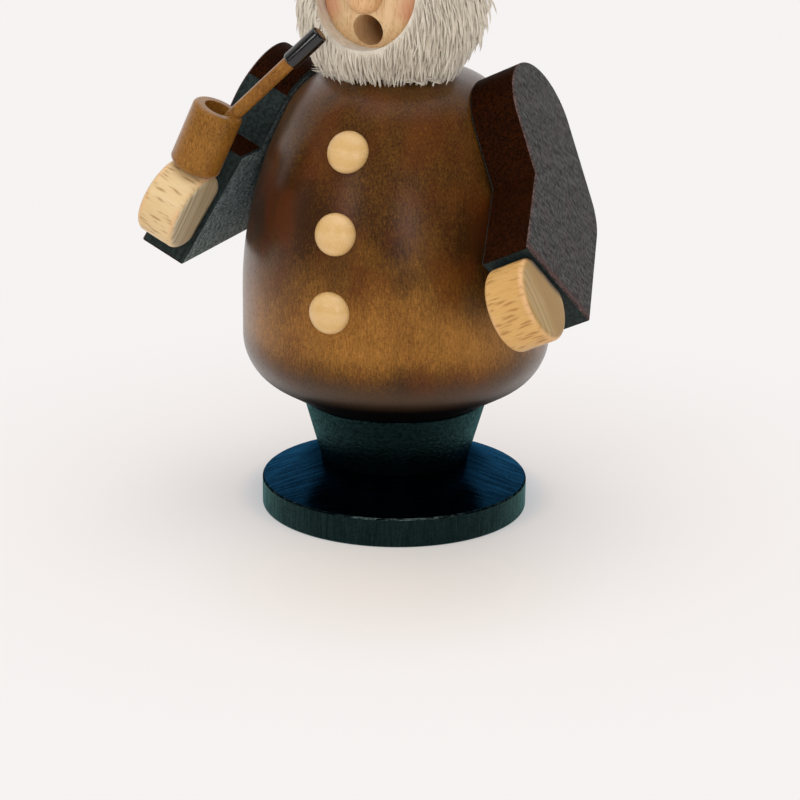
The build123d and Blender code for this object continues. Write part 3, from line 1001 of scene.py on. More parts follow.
class GeometryNet(NodeNet):
    """A Geometry Nodes tree with named inputs, run once on a mesh."""

    def __init__(self, name: str, inputs: dict[str, SocketKind]) -> None:
        """Make the tree and its sockets.

        Args:
            name: The tree's name.
            inputs: What each named input takes, besides the geometry and the finish.
        """
        super().__init__(bpy.data.node_groups.new(name, "GeometryNodeTree"))
        face = self.tree.interface
        for way in ("OUTPUT", "INPUT"):
            face.new_socket("Geometry", in_out=way, socket_type=SocketKind.GEOMETRY.value)
        self.identifiers: dict[str, str] = {}
        for label, kind in (inputs | {"Finish": SocketKind.FINISH}).items():
            socket = face.new_socket(label, in_out="INPUT", socket_type=kind.value)
            self.identifiers[label] = socket.identifier
        self._given = self.node("NodeGroupInput")

    def given(self, label: str) -> Value:
        """Return one of the tree's inputs."""
        return self._given.also(label)

    def close(self, geometry: Value) -> None:
        """End the tree: realise what it placed and give it its finish.

        Args:
            geometry: All that the tree made.
        """
        real = self.node("GeometryNodeRealizeInstances", {}, {"Geometry": geometry})
        sockets = {"Geometry": real, "Material": self.given("Finish")}
        dressed = self.node("GeometryNodeSetMaterial", {}, sockets)
        self.node("NodeGroupOutput", {}, {0: dressed})

    def run(self, mesh: bpy.types.Mesh, values: dict[str, object], finish: Finish) -> bpy.types.Mesh:
        """Run the tree on a mesh.

        Args:
            mesh: The geometry that goes in.
            values: The named inputs.
            finish: The finish of all that comes out.

        Returns:
            The result as a plain mesh.
        """
        carrier = put(self.tree.name, mesh)
        step = carrier.modifiers.new(self.tree.name, "NODES")
        step.node_group = self.tree
        for label, value in (values | {"Finish": finish.material()}).items():
            step[self.identifiers[label]] = value
        bpy.context.view_layer.update()
        graph = bpy.context.evaluated_depsgraph_get()
        result = bpy.data.meshes.new_from_object(carrier.evaluated_get(graph))
        carrier.modifiers.remove(step)
        bpy.data.objects.remove(carrier)
        result.materials.clear()
        result.materials.append(finish.material())
        result.polygons.foreach_set("material_index", [0] * len(result.polygons))
        return result


class Lathe(GeometryNet):
    """Turns an outline in the XZ plane about Z."""

    def __init__(self) -> None:
        """Build the tree: a grid whose rows are the outline's points, wrapped round Z."""
        super().__init__("lathe", {"Steps": SocketKind.COUNT})
        outline = self.given("Geometry")
        steps = self.given("Steps")
        row = steps + 1
        points = self.node("GeometryNodeAttributeDomainSize", {"component": "MESH"}, {0: outline})
        grid = self.node("GeometryNodeMeshGrid", {}, {"Vertices X": points, "Vertices Y": row})
        index = self.node("GeometryNodeInputIndex")
        along = self.maths("FLOOR", (index + 0.5) / row)
        around = index - along * row
        position = self.node("GeometryNodeInputPosition")
        sockets = {"Geometry": outline, "Value": position, "Index": along}
        point = self.node("GeometryNodeSampleIndex", {"data_type": "FLOAT_VECTOR"}, sockets)
        radius, _, height = self.split(point)
        turn = around * math.tau / steps
        wrapped = self.xyz(radius * self.maths("COSINE", turn), radius * self.maths("SINE", turn), height)
        turned = self.node("GeometryNodeSetPosition", {}, {"Geometry": grid, "Position": wrapped})
        sockets = {"Geometry": turned, "Distance": MERGE_REACH * MM}
        self.close(self.node("GeometryNodeMergeByDistance", {}, sockets))

    def turn(self, outline: Outline, finish: Finish, steps: int = 192) -> bpy.types.Mesh:
        """Turn one outline.

        Args:
            outline: Radius and height of each point, from the axis or round a closed loop.
            finish: The finish of the whole piece.
            steps: How many flats the round has.

        Returns:
            The turned mesh, normals outward.
        """
        mesh = bpy.data.meshes.new("outline")
        points = [(radius * MM, 0.0, height * MM) for radius, height in outline]
        mesh.from_pydata(points, [(i, i + 1) for i in range(len(points) - 1)], [])
        return outward_faces(self.run(mesh, {"Steps": steps}, finish))


class TackRing(GeometryNet):
    """Sets one tack at each corner of a regular ring."""

    def __init__(self) -> None:
        """Build the tree: a mesh circle's points carry copies of the tack."""
        inputs = {"Count": SocketKind.COUNT} | dict.fromkeys(("Radius", "Height"), SocketKind.NUMBER)
        super().__init__("tack_ring", inputs)
        sockets = {"Vertices": self.given("Count"), "Radius": self.given("Radius")}
        ring = self.node("GeometryNodeMeshCircle", {}, sockets)
        sockets = {"Geometry": ring, "Translation": self.xyz(z=self.given("Height"))}
        raised = self.node("GeometryNodeTransform", {}, sockets)
        sockets = {"Points": raised, "Instance": self.given("Geometry")}
        self.close(self.node("GeometryNodeInstanceOnPoints", {}, sockets))


class ButtonRow(GeometryNet):
    """Sets buttons up the front of the barrel, each square to its surface."""

    def __init__(self) -> None:
        """Build the tree: points up a line are pushed out to the barrel and carry a button."""
        row = ("First height", "Spacing", "First turn", "Turn step")
        barrel = ("Belly radius", "Belly height", "Arc radius")
        inputs = {"Count": SocketKind.COUNT} | dict.fromkeys(row + barrel, SocketKind.NUMBER)
        super().__init__("button_row", inputs)
        sockets = {
            "Count": self.given("Count"),
            "Start Location": self.xyz(z=self.given("First height")),
            "Offset": self.xyz(z=self.given("Spacing")),
        }
        line = self.node("GeometryNodeMeshLine", {"mode": "OFFSET"}, sockets)
        height = self.split(self.node("GeometryNodeInputPosition"))[2]
        bow = self.given("Arc radius")
        above = self.maths("MAXIMUM", height - self.given("Belly height"), 0.0)
        reach = self.given("Belly radius") - bow + (bow * bow - above * above) ** 0.5
        turn = self.given("First turn") + self.given("Turn step") * self.node("GeometryNodeInputIndex")
        aside = reach * self.maths("SINE", turn)
        ahead = -1.0 * reach * self.maths("COSINE", turn)
        sockets = {"Geometry": line, "Position": self.xyz(aside, ahead, height)}
        pushed = self.node("GeometryNodeSetPosition", {}, sockets)
        upright = math.pi / 2 - self.maths("ARCSINE", above / bow)
        tilt = self.xyz(x=upright, z=turn)
        sockets = {"Points": pushed, "Instance": self.given("Geometry"), "Rotation": tilt}
        self.close(self.node("GeometryNodeInstanceOnPoints", {}, sockets))


class StrandCoat(GeometryNet):
    """Covers a piece's outer side with strands that hang and lie along it."""

    def __init__(self) -> None:
        """Build the tree: scattered points carry strands turned down along the surface."""
        numbers = ("Density", "Outer depth", "Lift", "Sway", "Shortest", "Longest")
        inputs = {
            "Strand": SocketKind.OBJECT,
            "Seed": SocketKind.COUNT,
            "Centre": SocketKind.PLACE,
        }
        super().__init__("strand_coat", inputs | dict.fromkeys(numbers, SocketKind.NUMBER))
        body = self.given("Geometry")
        seed = self.given("Seed")
        away = self.vector("SUBTRACT", self.node("GeometryNodeInputPosition"), self.given("Centre"))
        faces_out = self.vector("DOT_PRODUCT", self.node("GeometryNodeInputNormal"), away, output=1)
        sockets = {0: faces_out, 1: self.given("Outer depth")}
        outer = self.node("FunctionNodeCompare", {"operation": "GREATER_THAN"}, sockets)
        sockets = {"Mesh": body, "Selection": outer, "Density": self.given("Density"), "Seed": seed}
        points = self.node("GeometryNodeDistributePointsOnFaces", {}, sockets)
        out = points.also("Normal")
        down = (0.0, 0.0, -1.0)
        sunk = self.vector("SCALE", out, self.vector("DOT_PRODUCT", out, down, output=1))
        flow = self.vector("NORMALIZE", self.vector("SUBTRACT", down, sunk))
        most = self.given("Sway")
        sockets = {0: -1.0 * most, 1: most, "Seed": seed}
        sway = self.node("FunctionNodeRandomValue", {"data_type": "FLOAT_VECTOR"}, sockets)
        lifted = self.vector("SCALE", out, self.given("Lift"))
        lean = self.vector("ADD", self.vector("ADD", flow, sway), lifted)
        hung = self.node("FunctionNodeAlignRotationToVector", {"axis": "Z"}, {"Vector": lean})
        settings = {"axis": "X", "pivot_axis": "Z"}
        sockets = {"Rotation": hung, "Vector": out}
        turned = self.node("FunctionNodeAlignRotationToVector", settings, sockets)
        strand = self.node("GeometryNodeObjectInfo", {}, {"Object": self.given("Strand")}, "Geometry")
        sockets = {2: self.given("Shortest"), 3: self.given("Longest"), "Seed": seed}
        size = self.node("FunctionNodeRandomValue", {}, sockets, 1)
        sockets = {"Points": points, "Instance": strand, "Rotation": turned, "Scale": size}
        strands = self.node("GeometryNodeInstanceOnPoints", {}, sockets)
        joined = self.node("GeometryNodeJoinGeometry", {}, {0: strands})
        self.tree.links.new(body.socket, joined.socket.node.inputs[0])
        self.close(joined)


def outward_faces(mesh: bpy.types.Mesh, crease: float = CREASE) -> bpy.types.Mesh:
    """Merge a mesh, turn its faces outward and smooth all but its sharp edges.

    Args:
        mesh: A closed mesh.
        crease: Angle in degrees past which an edge stays sharp.

    Returns:
        The same mesh.
    """
    work = bmesh.new()
    work.from_mesh(mesh)
    bmesh.ops.remove_doubles(work, verts=work.verts, dist=MERGE_REACH * MM)
    bmesh.ops.recalc_face_normals(work, faces=work.faces)
    for face in work.faces:
        face.smooth = True
    for edge in work.edges:
        edge.smooth = len(edge.link_faces) == 2 and edge.calc_face_angle(0.0) < math.radians(crease)
    work.to_mesh(mesh)
    work.free()
    return mesh


def merged_copy(node: str) -> bpy.types.Mesh:
    """Copy a CAD node's loose triangles into one closed, smooth mesh.

    Args:
        node: The node's name.

    Returns:
        A new mesh in the frame's own place.
    """
    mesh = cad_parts[node].data.copy()
    mesh.materials.clear()
    for name in [layer.name for layer in mesh.uv_layers]:
        mesh.uv_layers.remove(mesh.uv_layers[name])
    if mesh.has_custom_normals:
        mesh.attributes.remove(mesh.attributes["custom_normal"])
    return outward_faces(mesh)


def arc(centre: Span, radius: float, start: float, end: float, count: int = 8) -> Outline:
    """Give points on an arc of an outline.

    Args:
        centre: The arc's centre, as radius and height.
        radius: The arc's own radius.
        start: First angle in degrees, 0 pointing outward and 90 up.
        end: Last angle in degrees.
        count: How many steps it has.

    Returns:
        The points from start to end.
    """
    points = []
    for step in range(count + 1):
        angle = math.radians(start + (end - start) * step / count)
        points.append((centre[0] + radius * math.cos(angle), centre[1] + radius * math.sin(angle)))
    return points


def show(name: str, mesh: bpy.types.Mesh, body: Body, nodes: Sequence[str], finish: Finish) -> None:
    """Put a finished piece in the scene in place of its nodes.

    Args:
        name: The piece's name.
        mesh: Its mesh, in the frame's own place, with its materials if it has several.
        body: The body that it moves with.
        nodes: The CAD nodes that it stands for.
        finish: The finish that it wears when its mesh has no materials.
    """
    piece = put(name, mesh)
    if not mesh.materials:
        mesh.materials.append(finish.material())
    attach(piece, body.value)
    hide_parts(*nodes)
    log.info("%s stands for %s: %d faces", name, ", ".join(nodes), len(mesh.polygons))


def show_copy(name: str, node: str, body: Body, finish: Finish) -> None:
    """Put a smoothed copy of one CAD node in its place."""
    show(name, merged_copy(node), body, [node], finish)


def dress(node: str, finish: Finish) -> None:
    """Give a CAD node that stays as it is a finish.

    Args:
        node: The node's name.
        finish: What it wears.
    """
    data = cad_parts[node].data
    data.materials.clear()
    data.materials.append(finish.material())
    log.info("%s dressed in %s", node, finish.name)


# The foot, its edge and the plinth wear tunings of one black stain that hold painted light: the darker
# grounds of the cone's top and the plinth are painted shade, their differing gloss tints are painted
# reflection colour, and the edge's pale front flecks are a painted highlight.
BLACK_RIM = BlackStain(
    "black_stain_rim",
    "black_stained_wood",
    tone=(9, 18, 19),
    worn=(16, 29, 30),
    gloss_tone=(100, 142, 141),
    gloss=0.64,
    gloss_square=0.07,
    gloss_power=3.0,
    gloss_breaks=0.4,
    grain_turn=55.0,
    grain_size=(0.6, 0.6, 8.0),
)
BLACK_EDGE = BlackStain(
    "black_stain_edge",
    "black_stained_wood",
    tone=(2, 7, 8),
    worn=(86, 102, 102),
    worn_reach=(-35.3, -31.0),
    gloss_tone=(110, 142, 146),
    gloss=0.06,
    gloss_square=0.9,
    gloss_roughness=0.13,
    gloss_breaks=0.9,
    grain_turn=27.0,
    grain_size=(4.0, 1.0, 0.8),
    speck_share=0.25,
    proud_edge=(0.42, 0.68),
)
BLACK_TOP = BlackStain(
    "black_stain_top",
    "black_stained_wood",
    tone=(0, 1, 2),
    worn=(1, 3, 5),
    gloss_tone=(36, 92, 132),
    gloss_square=0.08,
    gloss_roughness=0.2,
    gloss_breaks=0.55,
    grain_turn=23.0,
    grain_size=(13.0, 0.8, 4.0),
    speck_share=0.3,
    corner_reach=(20.0, 29.0),
    depth=0.06,
)
BLACK_PLINTH = BlackStain(
    "black_stain_plinth",
    "black_stained_wood",
    tone=(1, 3, 4),
    worn=(3, 8, 9),
    gloss_tone=(72, 110, 112),
    gloss=0.58,
    gloss_square=0.1,
    gloss_roughness=0.2,
    grain_size=(1.0, 1.0, 0.8),
    speck_size=(0.5, 0.5, 0.5),
    depth=0.14,
)
BLACK_HAT = BlackStain("black_stain_hat", "hat_wood", grain_size=(0.5, 0.5, 7.0))

# Mostly stain mottling; the darker patches high up beside the sleeves (turns -42, -26, 54 and 64) and low
# on the left side (turn -64) are painted shade.
BARREL_STAIN_AND_SHADE = (
    StainCloud(turn=-1, height=55, reach=13, weight=-0.02, core=0.72),
    StainCloud(turn=10, height=60, reach=20, weight=0.05),
    StainCloud(turn=58, height=50, reach=17, weight=0.16),
    StainCloud(turn=40, height=55, reach=14, weight=0.05),
    StainCloud(turn=5, height=72, reach=11, weight=-0.16),
    StainCloud(turn=22, height=80, reach=6, weight=-0.2),
    StainCloud(turn=26, height=72, reach=6, weight=-0.16),
    StainCloud(turn=12, height=79, reach=6, weight=0.1),
    StainCloud(turn=36, height=81, reach=8, weight=0.1),
    StainCloud(turn=-26, height=80, reach=24, weight=-0.28),
    StainCloud(turn=54, height=76, reach=19, weight=-0.26),
    StainCloud(turn=64, height=80, reach=13, weight=-0.16),
    StainCloud(turn=50, height=65, reach=8, weight=-0.07),
    StainCloud(turn=-42, height=85, reach=13, weight=-0.14),
    StainCloud(turn=-64, height=62, reach=26, weight=-0.16),
    StainCloud(turn=28, height=45, reach=8, weight=-0.16),
    StainCloud(turn=-22, height=62, reach=14, weight=-0.1),
    StainCloud(turn=150, height=60, reach=26, weight=0.1),
    StainCloud(turn=205, height=74, reach=20, weight=-0.12),
    StainCloud(turn=265, height=56, reach=24, weight=0.1),
)
BROWN_BARREL = BrownStain("brown_stain_barrel", "brown_stained_wood", clouds=BARREL_STAIN_AND_SHADE)
BROWN_BAND = BrownStain("brown_stain_band", "band_wood", belt_high=NOWHERE)
BROWN_PIPE = BrownStain("brown_stain_pipe", "pipe_wood", belt_high=NOWHERE)

SLEEVE_SLOT = "dark_stained_wood"
# Each face of one stained board has its own tones, partly painted light: the grey outer face and the pale
# teal inner face carry painted sheen, and the end's teal-black is partly end grain, partly painted shade.
SLEEVE_LOOKS: dict[SleeveFace, dict[str, object]] = {
    SleeveFace.OUTER: {"rubbed_share": 0.75},
    SleeveFace.INNER: {"dark": (46, 58, 60), "light": (150, 168, 168), "red_share": 0.0},
    SleeveFace.WALL: {"dark": (20, 7, 1), "light": (48, 20, 5), "red": (60, 22, 6), "specular": 0.02},
    SleeveFace.WORN: {"dark": (44, 36, 35), "light": (112, 92, 88), "red": (100, 64, 58), "depth": 0.05},
    SleeveFace.END: {
        "dark": (26, 34, 34),
        "light": (44, 56, 54),
        "red_share": 0.0,
        "fibre_size": (0.9, 0.7, 0.9),
        "depth": 0.04,
    },
}

BEECH_BUTTON = Beech(
    "beech_button",
    "beech",
    light=(226, 186, 126),
    dark=(212, 166, 86),
    fleck_share=0.0,
    ring_width=4.0,
    pith=(3.0, -150.0),
    coat=1.0,
    coat_roughness=0.36,
    axes=((1, 0, 0), (0, 0, -1), (0, 1, 0)),
)
BEECH_HAND = Beech(
    "beech_hand",
    "beech",
    fleck=(152, 100, 44),
    fleck_size=(0.95, 0.95, 6.0),
    fleck_edge=(0.14, 0.5),
    fleck_share=0.62,
    ring_width=18.0,
    ring_wander=0.2,
    pith=(71.0, 5.0),
)
BEECH_NOSE = Beech("beech_nose", "head_wood", light=(230, 184, 134), dark=(212, 160, 106), fleck_share=0.4)
DOWEL_WOOD = Beech("beech_dowel", "dowel_wood")
FACE = FaceWood(
    "face_wood",
    "head_wood",
    light=(234, 200, 154),
    dark=(220, 178, 126),
    fleck=(190, 144, 96),
    fleck_share=0.5,
)
BLACK_TIP = Lacquer("black_lacquer_tip", "pipe_tip")
BLACK_EYE = Lacquer("black_lacquer_eye", "eye_paint", roughness=0.12)
BRASS = PressedBrass("pressed_brass", "plate_brass")
BEARD_WOOL = Wool("beard_wool", "beard_wood")
PAPER = StudioPaper("studio_paper")


@dataclass
class Base:
    """Foot, plinth and incense plate, which stay behind when the figure is lifted."""

    lathe: Lathe
    rim_height: float = 7.9
    rim_edge: float = 0.7
    rim_worn_angle: float = 12.0
    cone_top_radius: float = 20.1
    plinth_edge: float = 0.5
    plinth_lean: float = 17.0
    spigot_radius: float = 20.0
    spigot_height: float = 6.0
    tack_count: int = 3
    tack_circle: float = 12.5
    tack_head: float = 1.9
    tack_head_height: float = 0.9
    tack_shank: float = 0.6
    tack_steps: int = 24
    tack_edge_steps: int = 5
    foot_radius: float = field(init=False)
    foot_height: float = field(init=False)
    plinth_radius: float = field(init=False)
    plinth_top: float = field(init=False)

    def __post_init__(self) -> None:
        """Read the sizes that the frame gives."""
        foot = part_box("foot_disc")[1]
        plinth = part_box("plinth")[1]
        self.foot_radius = foot.x / MM
        self.foot_height = foot.z / MM
        self.plinth_radius = plinth.x / MM
        self.plinth_top = plinth.z / MM - self.spigot_height

    def build(self) -> None:
        """Make and dress every piece of the base."""
        self._foot()
        self._plinth()
        self._plate()
        dress("base_dowel", DOWEL_WOOD)

    def _foot(self) -> None:
        """Turn the foot: a low rim under a flat cone, with a finish each and an edge between, whose pale
        front flecks are a painted highlight.
        """
        edge = self.rim_edge
        rise = self.foot_height - self.rim_height
        slope = math.degrees(math.atan2(rise, self.foot_radius - self.cone_top_radius))
        drop = edge * math.tan(math.radians(90 - slope) / 2)
        outline = [(0.0, 0.0)]
        outline += arc((self.foot_radius - edge, edge), edge, -90, 0)
        outline += arc((self.foot_radius - edge, self.rim_height - drop), edge, 0, 90 - slope)
        outline += [(self.cone_top_radius, self.foot_height), (0.0, self.foot_height)]
        mesh = self.lathe.turn(outline, BLACK_RIM)
        mesh.materials.append(BLACK_TOP.material())
        mesh.materials.append(BLACK_EDGE.material())
        flat = math.cos(math.radians(slope + self.rim_worn_angle))
        upright = math.sin(math.radians(self.rim_worn_angle))
        for face in mesh.polygons:
            if face.normal.z > flat:
                face.material_index = FootFace.TOP
            elif face.normal.z > upright:
                face.material_index = FootFace.EDGE
        show("foot", mesh, Body.BASE, ["foot_disc"], BLACK_RIM)

    def _plinth(self) -> None:
        """Turn the plinth: a frustum that widens upward, with its spigot on top."""
        edge = self.plinth_edge
        top = self.plinth_top
        outline = [(0.0, self.foot_height), (self.cone_top_radius, self.foot_height)]
        outline += arc((self.plinth_radius - edge, top - edge), edge, -self.plinth_lean, 90)
        outline += [
            (self.spigot_radius, top),
            (self.spigot_radius, top + self.spigot_height - edge),
            (self.spigot_radius - edge, top + self.spigot_height),
            (0.0, top + self.spigot_height),
        ]
        show("plinth_turning", self.lathe.turn(outline, BLACK_PLINTH), Body.BASE, ["plinth"], BLACK_PLINTH)

    def _plate(self) -> None:
        """Dress the pressed plate and set its tacks in a ring."""
        show_copy("brass_plate", "incense_plate", Body.BASE, BRASS)
        low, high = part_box("plate_tacks")
        head = self.tack_head_height
        seat = high.z / MM - head
        tip = low.z / MM - seat
        outline = [(0.0, tip), (self.tack_shank, tip), (self.tack_shank, 0.0), (self.tack_head, 0.0)]
        outline += arc((self.tack_head - head / 2, head / 2), head / 2, 0, 90, self.tack_edge_steps)
        outline += [(0.0, head)]
        values = {"Count": self.tack_count, "Radius": self.tack_circle * MM, "Height": seat * MM}
        tacks = TackRing().run(self.lathe.turn(outline, BRASS, self.tack_steps), values, BRASS)
        show("brass_tacks", outward_faces(tacks), Body.BASE, ["plate_tacks"], BRASS)


@dataclass
class Torso:
    """Turned barrel with its buttons."""

    lathe: Lathe
    belly_radius: float = 41.0
    belly_height: float = 60.5
    arc_radius: float = 105.0
    button_radius: float = 5.4
    button_dome: float = 3.4
    button_seat: float = 0.55
    button_steps: int = 96
    button_dome_steps: int = 32
    button_first: float = 63.35
    button_spacing: float = 19.65
    button_first_turn: float = -1.2
    button_turn_step: float = 0.6
    button_nodes: tuple[str, ...] = ("button_lower", "button_middle", "button_upper")

    def build(self) -> None:
        """Make and dress the barrel, its buttons and the hidden tube above."""
        show_copy("barrel", "torso_shell", Body.TORSO, BROWN_BARREL)
        self._buttons()
        dress("neck_tube", DOWEL_WOOD)

    def _buttons(self) -> None:
        """Turn one domed button and set it up the front."""
        outline = [(0.0, -self.button_seat), (self.button_radius, -self.button_seat)]
        dome = arc((0.0, 0.0), 1.0, 0, 90, self.button_dome_steps)
        outline += [(self.button_radius * out, self.button_dome * up) for out, up in dome]
        values = {
            "Count": len(self.button_nodes),
            "First height": self.button_first * MM,
            "Spacing": self.button_spacing * MM,
            "First turn": math.radians(self.button_first_turn),
            "Turn step": math.radians(self.button_turn_step),
            "Belly radius": self.belly_radius * MM,
            "Belly height": self.belly_height * MM,
            "Arc radius": self.arc_radius * MM,
        }
        button = self.lathe.turn(outline, BEECH_BUTTON, self.button_steps)
        row = ButtonRow().run(button, values, BEECH_BUTTON)
        show("buttons", outward_faces(row), Body.TORSO, self.button_nodes, BEECH_BUTTON)


@dataclass
class Arm:
    """One board sleeve with its drum hand."""

    side: Side
    forearm_angle: float
    sleeve_cut: float
    hand_light: Tone
    hand_dark: Tone
    end_pale: Tone
    end_dark: Tone
    splay: float = 25.5
    # Cosines between a face's normal and the direction that it is judged by.
    square_least: float = 0.97
    wall_most: float = 0.12
    end_inset: Span = (0.7, 0.1)
    ridge_inset: Span = (2.0, 0.8)

    @property
    def outward(self) -> Vector:
        """Return the direction across the board, away from the torso."""
        splay = math.radians(self.splay)
        return Vector((self.side.value * math.cos(splay), 0, math.sin(splay)))

    @property
    def facing(self) -> Vector:
        """Return the direction that the sleeve's sawn end faces."""
        return self.in_board(self.forearm_angle - self.sleeve_cut)

    def in_board(self, angle: float) -> Vector:
        """Give a direction that lies in the board.

        Args:
            angle: Degrees below straight ahead.

        Returns:
            A unit vector.
        """
        splay = math.radians(self.splay)
        down = math.sin(math.radians(angle))
        ahead = math.cos(math.radians(angle))
        return Vector((self.side.value * down * math.sin(splay), -ahead, -down * math.cos(splay)))

    def build(self) -> None:
        """Make and dress the sleeve and the hand, and dress the hidden dowels."""
        self._sleeve()
        self._hand()
        for joined in ("arm", "hand"):
            dress(f"{self.side.label}_{joined}_dowel", DOWEL_WOOD)

    def _sleeve(self) -> None:
        """Copy the sleeve and give broad faces, edges, paler outer corners and sawn end a finish each."""
        node = f"{self.side.label}_arm"
        name = f"{self.side.label}_sleeve"
        mesh = merged_copy(node)
        ahead = max(corner.co.dot(self.facing) for corner in mesh.vertices)
        grain = self.in_board(self.forearm_angle - self.sleeve_cut + 90)
        lie = {
            "axes": (tuple(grain), tuple(self.outward.cross(grain)), tuple(self.outward)),
            "origin_m": tuple(self.facing * ahead),
        }
        stains = []
        for part, look in SLEEVE_LOOKS.items():
            stains.append(SawnStain(f"{name}_{part.name.lower()}", SLEEVE_SLOT, **look, **lie))
            mesh.materials.append(stains[part].material())
        for face in mesh.polygons:
            face.material_index = self._sleeve_face(face.normal)
        show(name, mesh, Body.TORSO, [node], stains[SleeveFace.OUTER])

    def _sleeve_face(self, normal: Vector) -> SleeveFace:
        """Tell which of the sleeve's faces looks along a normal.

        Args:
            normal: The direction that a polygon looks in.

        Returns:
            The face that the polygon belongs to.
        """
        across = normal.dot(self.outward)
        if across > self.square_least:
            return SleeveFace.OUTER
        if across < -self.square_least:
            return SleeveFace.INNER
        if normal.dot(self.facing) > self.square_least:
            return SleeveFace.END
        if abs(across) < self.wall_most:
            return SleeveFace.WALL
        return SleeveFace.END if across < 0 else SleeveFace.WORN

    def _hand(self) -> None:
        """Copy the drum hand and lay the beech's grain along its axis."""
        node = f"{self.side.label}_hand"
        low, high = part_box(node)
        middle = (low + high) / 2
        mesh = merged_copy(node)
        reach = [corner.co.dot(self.outward) for corner in mesh.vertices]
        middle += self.outward * ((min(reach) + max(reach)) / 2 - middle.dot(self.outward))
        half = (max(reach) - min(reach)) / 2 / MM
        ahead = Vector((0, -1, 0))
        axes = Matrix((ahead, self.outward.cross(ahead), self.outward))
        beech = replace(
            BEECH_HAND,
            name=f"{BEECH_HAND.name}_{self.side.label}",
            light=self.hand_light,
            dark=self.hand_dark,
            end_pale=self.end_pale,
            end_dark=self.end_dark,
            end_reach=tuple(half - inset for inset in self.end_inset),
            ridge_reach=tuple(half - inset for inset in self.ridge_inset),
            seat_axis=tuple(axes @ self.facing),
            seat_level=min((corner.co - middle).dot(self.facing) for corner in mesh.vertices) / MM,
            axes=tuple(tuple(row) for row in axes),
            origin_m=tuple(middle),
        )
        show(f"{self.side.label}_drum_hand", mesh, Body.TORSO, [node], beech)


LEFT_ARM = Arm(
    Side.LEFT,
    forearm_angle=32.8,
    sleeve_cut=-4.8,
    hand_light=(220, 175, 108),
    hand_dark=(198, 150, 82),
    end_pale=(164, 128, 66),
    end_dark=(180, 150, 98),
)
# The right hand's paler tones are a painted reflection of the pale floor on its lacquer.
RIGHT_ARM = Arm(
    Side.RIGHT,
    forearm_angle=3.3,
    sleeve_cut=20.3,
    hand_light=(232, 204, 156),
    hand_dark=(218, 184, 126),
    end_pale=(206, 188, 152),
    end_dark=(214, 200, 170),
)


@dataclass
class Head:
    """Ball head with nose, eyes and beard."""

    strand_length: float = 6.0
    strand_radius: float = 0.34
    strand_root: float = 0.75
    strand_taper: float = 0.6
    strand_bow: float = 0.55
    strand_sides: int = 3
    strand_joints: int = 5
    strand_crease: float = 80.0
    strand_density: float = 1.1
    strand_lift: float = 0.12
    strand_sway: float = 0.22
    strand_sizes: Span = (0.65, 1.1)
    strand_seed: int = 7
    beard_centre: float = 138.93
    # A face whose plane passes nearer the centre than this is on the beard's inner side.
    beard_depth: float = 6.0

    def build(self) -> None:
        """Make and dress every piece of the head."""
        show_copy("face", "head", Body.TORSO, FACE)
        show_copy("round_nose", "nose", Body.TORSO, BEECH_NOSE)
        for side in Side:
            show_copy(f"{side.label}_painted_eye", f"{side.label}_eye", Body.TORSO, BLACK_EYE)
        self._beard()

    def _strand(self) -> bpy.types.Mesh:
        """Model one tapered strand that grows along Z and bows back to the surface.

        Returns:
            The strand's mesh, root at zero.
        """
        points = []
        faces = []
        for joint in range(self.strand_joints):
            share = joint / (self.strand_joints - 1)
            thick = self.strand_radius * (1 - share) ** self.strand_taper * (self.strand_root + share)
            bow = self.strand_bow * math.sin(math.pi * share)
            for side in range(self.strand_sides):
                angle = math.tau * side / self.strand_sides
                x = (thick * math.cos(angle) + bow) * MM
                points.append((x, thick * math.sin(angle) * MM, share * self.strand_length * MM))
        for joint in range(self.strand_joints - 1):
            for side in range(self.strand_sides):
                here = joint * self.strand_sides
                following = (side + 1) % self.strand_sides
                above = here + self.strand_sides
                faces.append((here + side, here + following, above + following, above + side))
        faces.append(tuple(reversed(range(self.strand_sides))))
        mesh = bpy.data.meshes.new("strand")
        mesh.from_pydata(points, [], faces)
        return outward_faces(mesh, self.strand_crease)

    def _beard(self) -> None:
        """Cover the beard's solid with hanging strands."""
        strand = put("strand", self._strand())
        values = {
            "Strand": strand,
            "Seed": self.strand_seed,
            "Centre": (0.0, 0.0, self.beard_centre * MM),
            "Density": self.strand_density / MM**2,
            "Outer depth": self.beard_depth * MM,
            "Lift": self.strand_lift,
            "Sway": self.strand_sway,
            "Shortest": self.strand_sizes[0],
            "Longest": self.strand_sizes[1],
        }
        mesh = StrandCoat().run(merged_copy("beard"), values, BEARD_WOOL)
        bpy.data.objects.remove(strand)
        show("wool_beard", mesh, Body.TORSO, ["beard"], BEARD_WOOL)


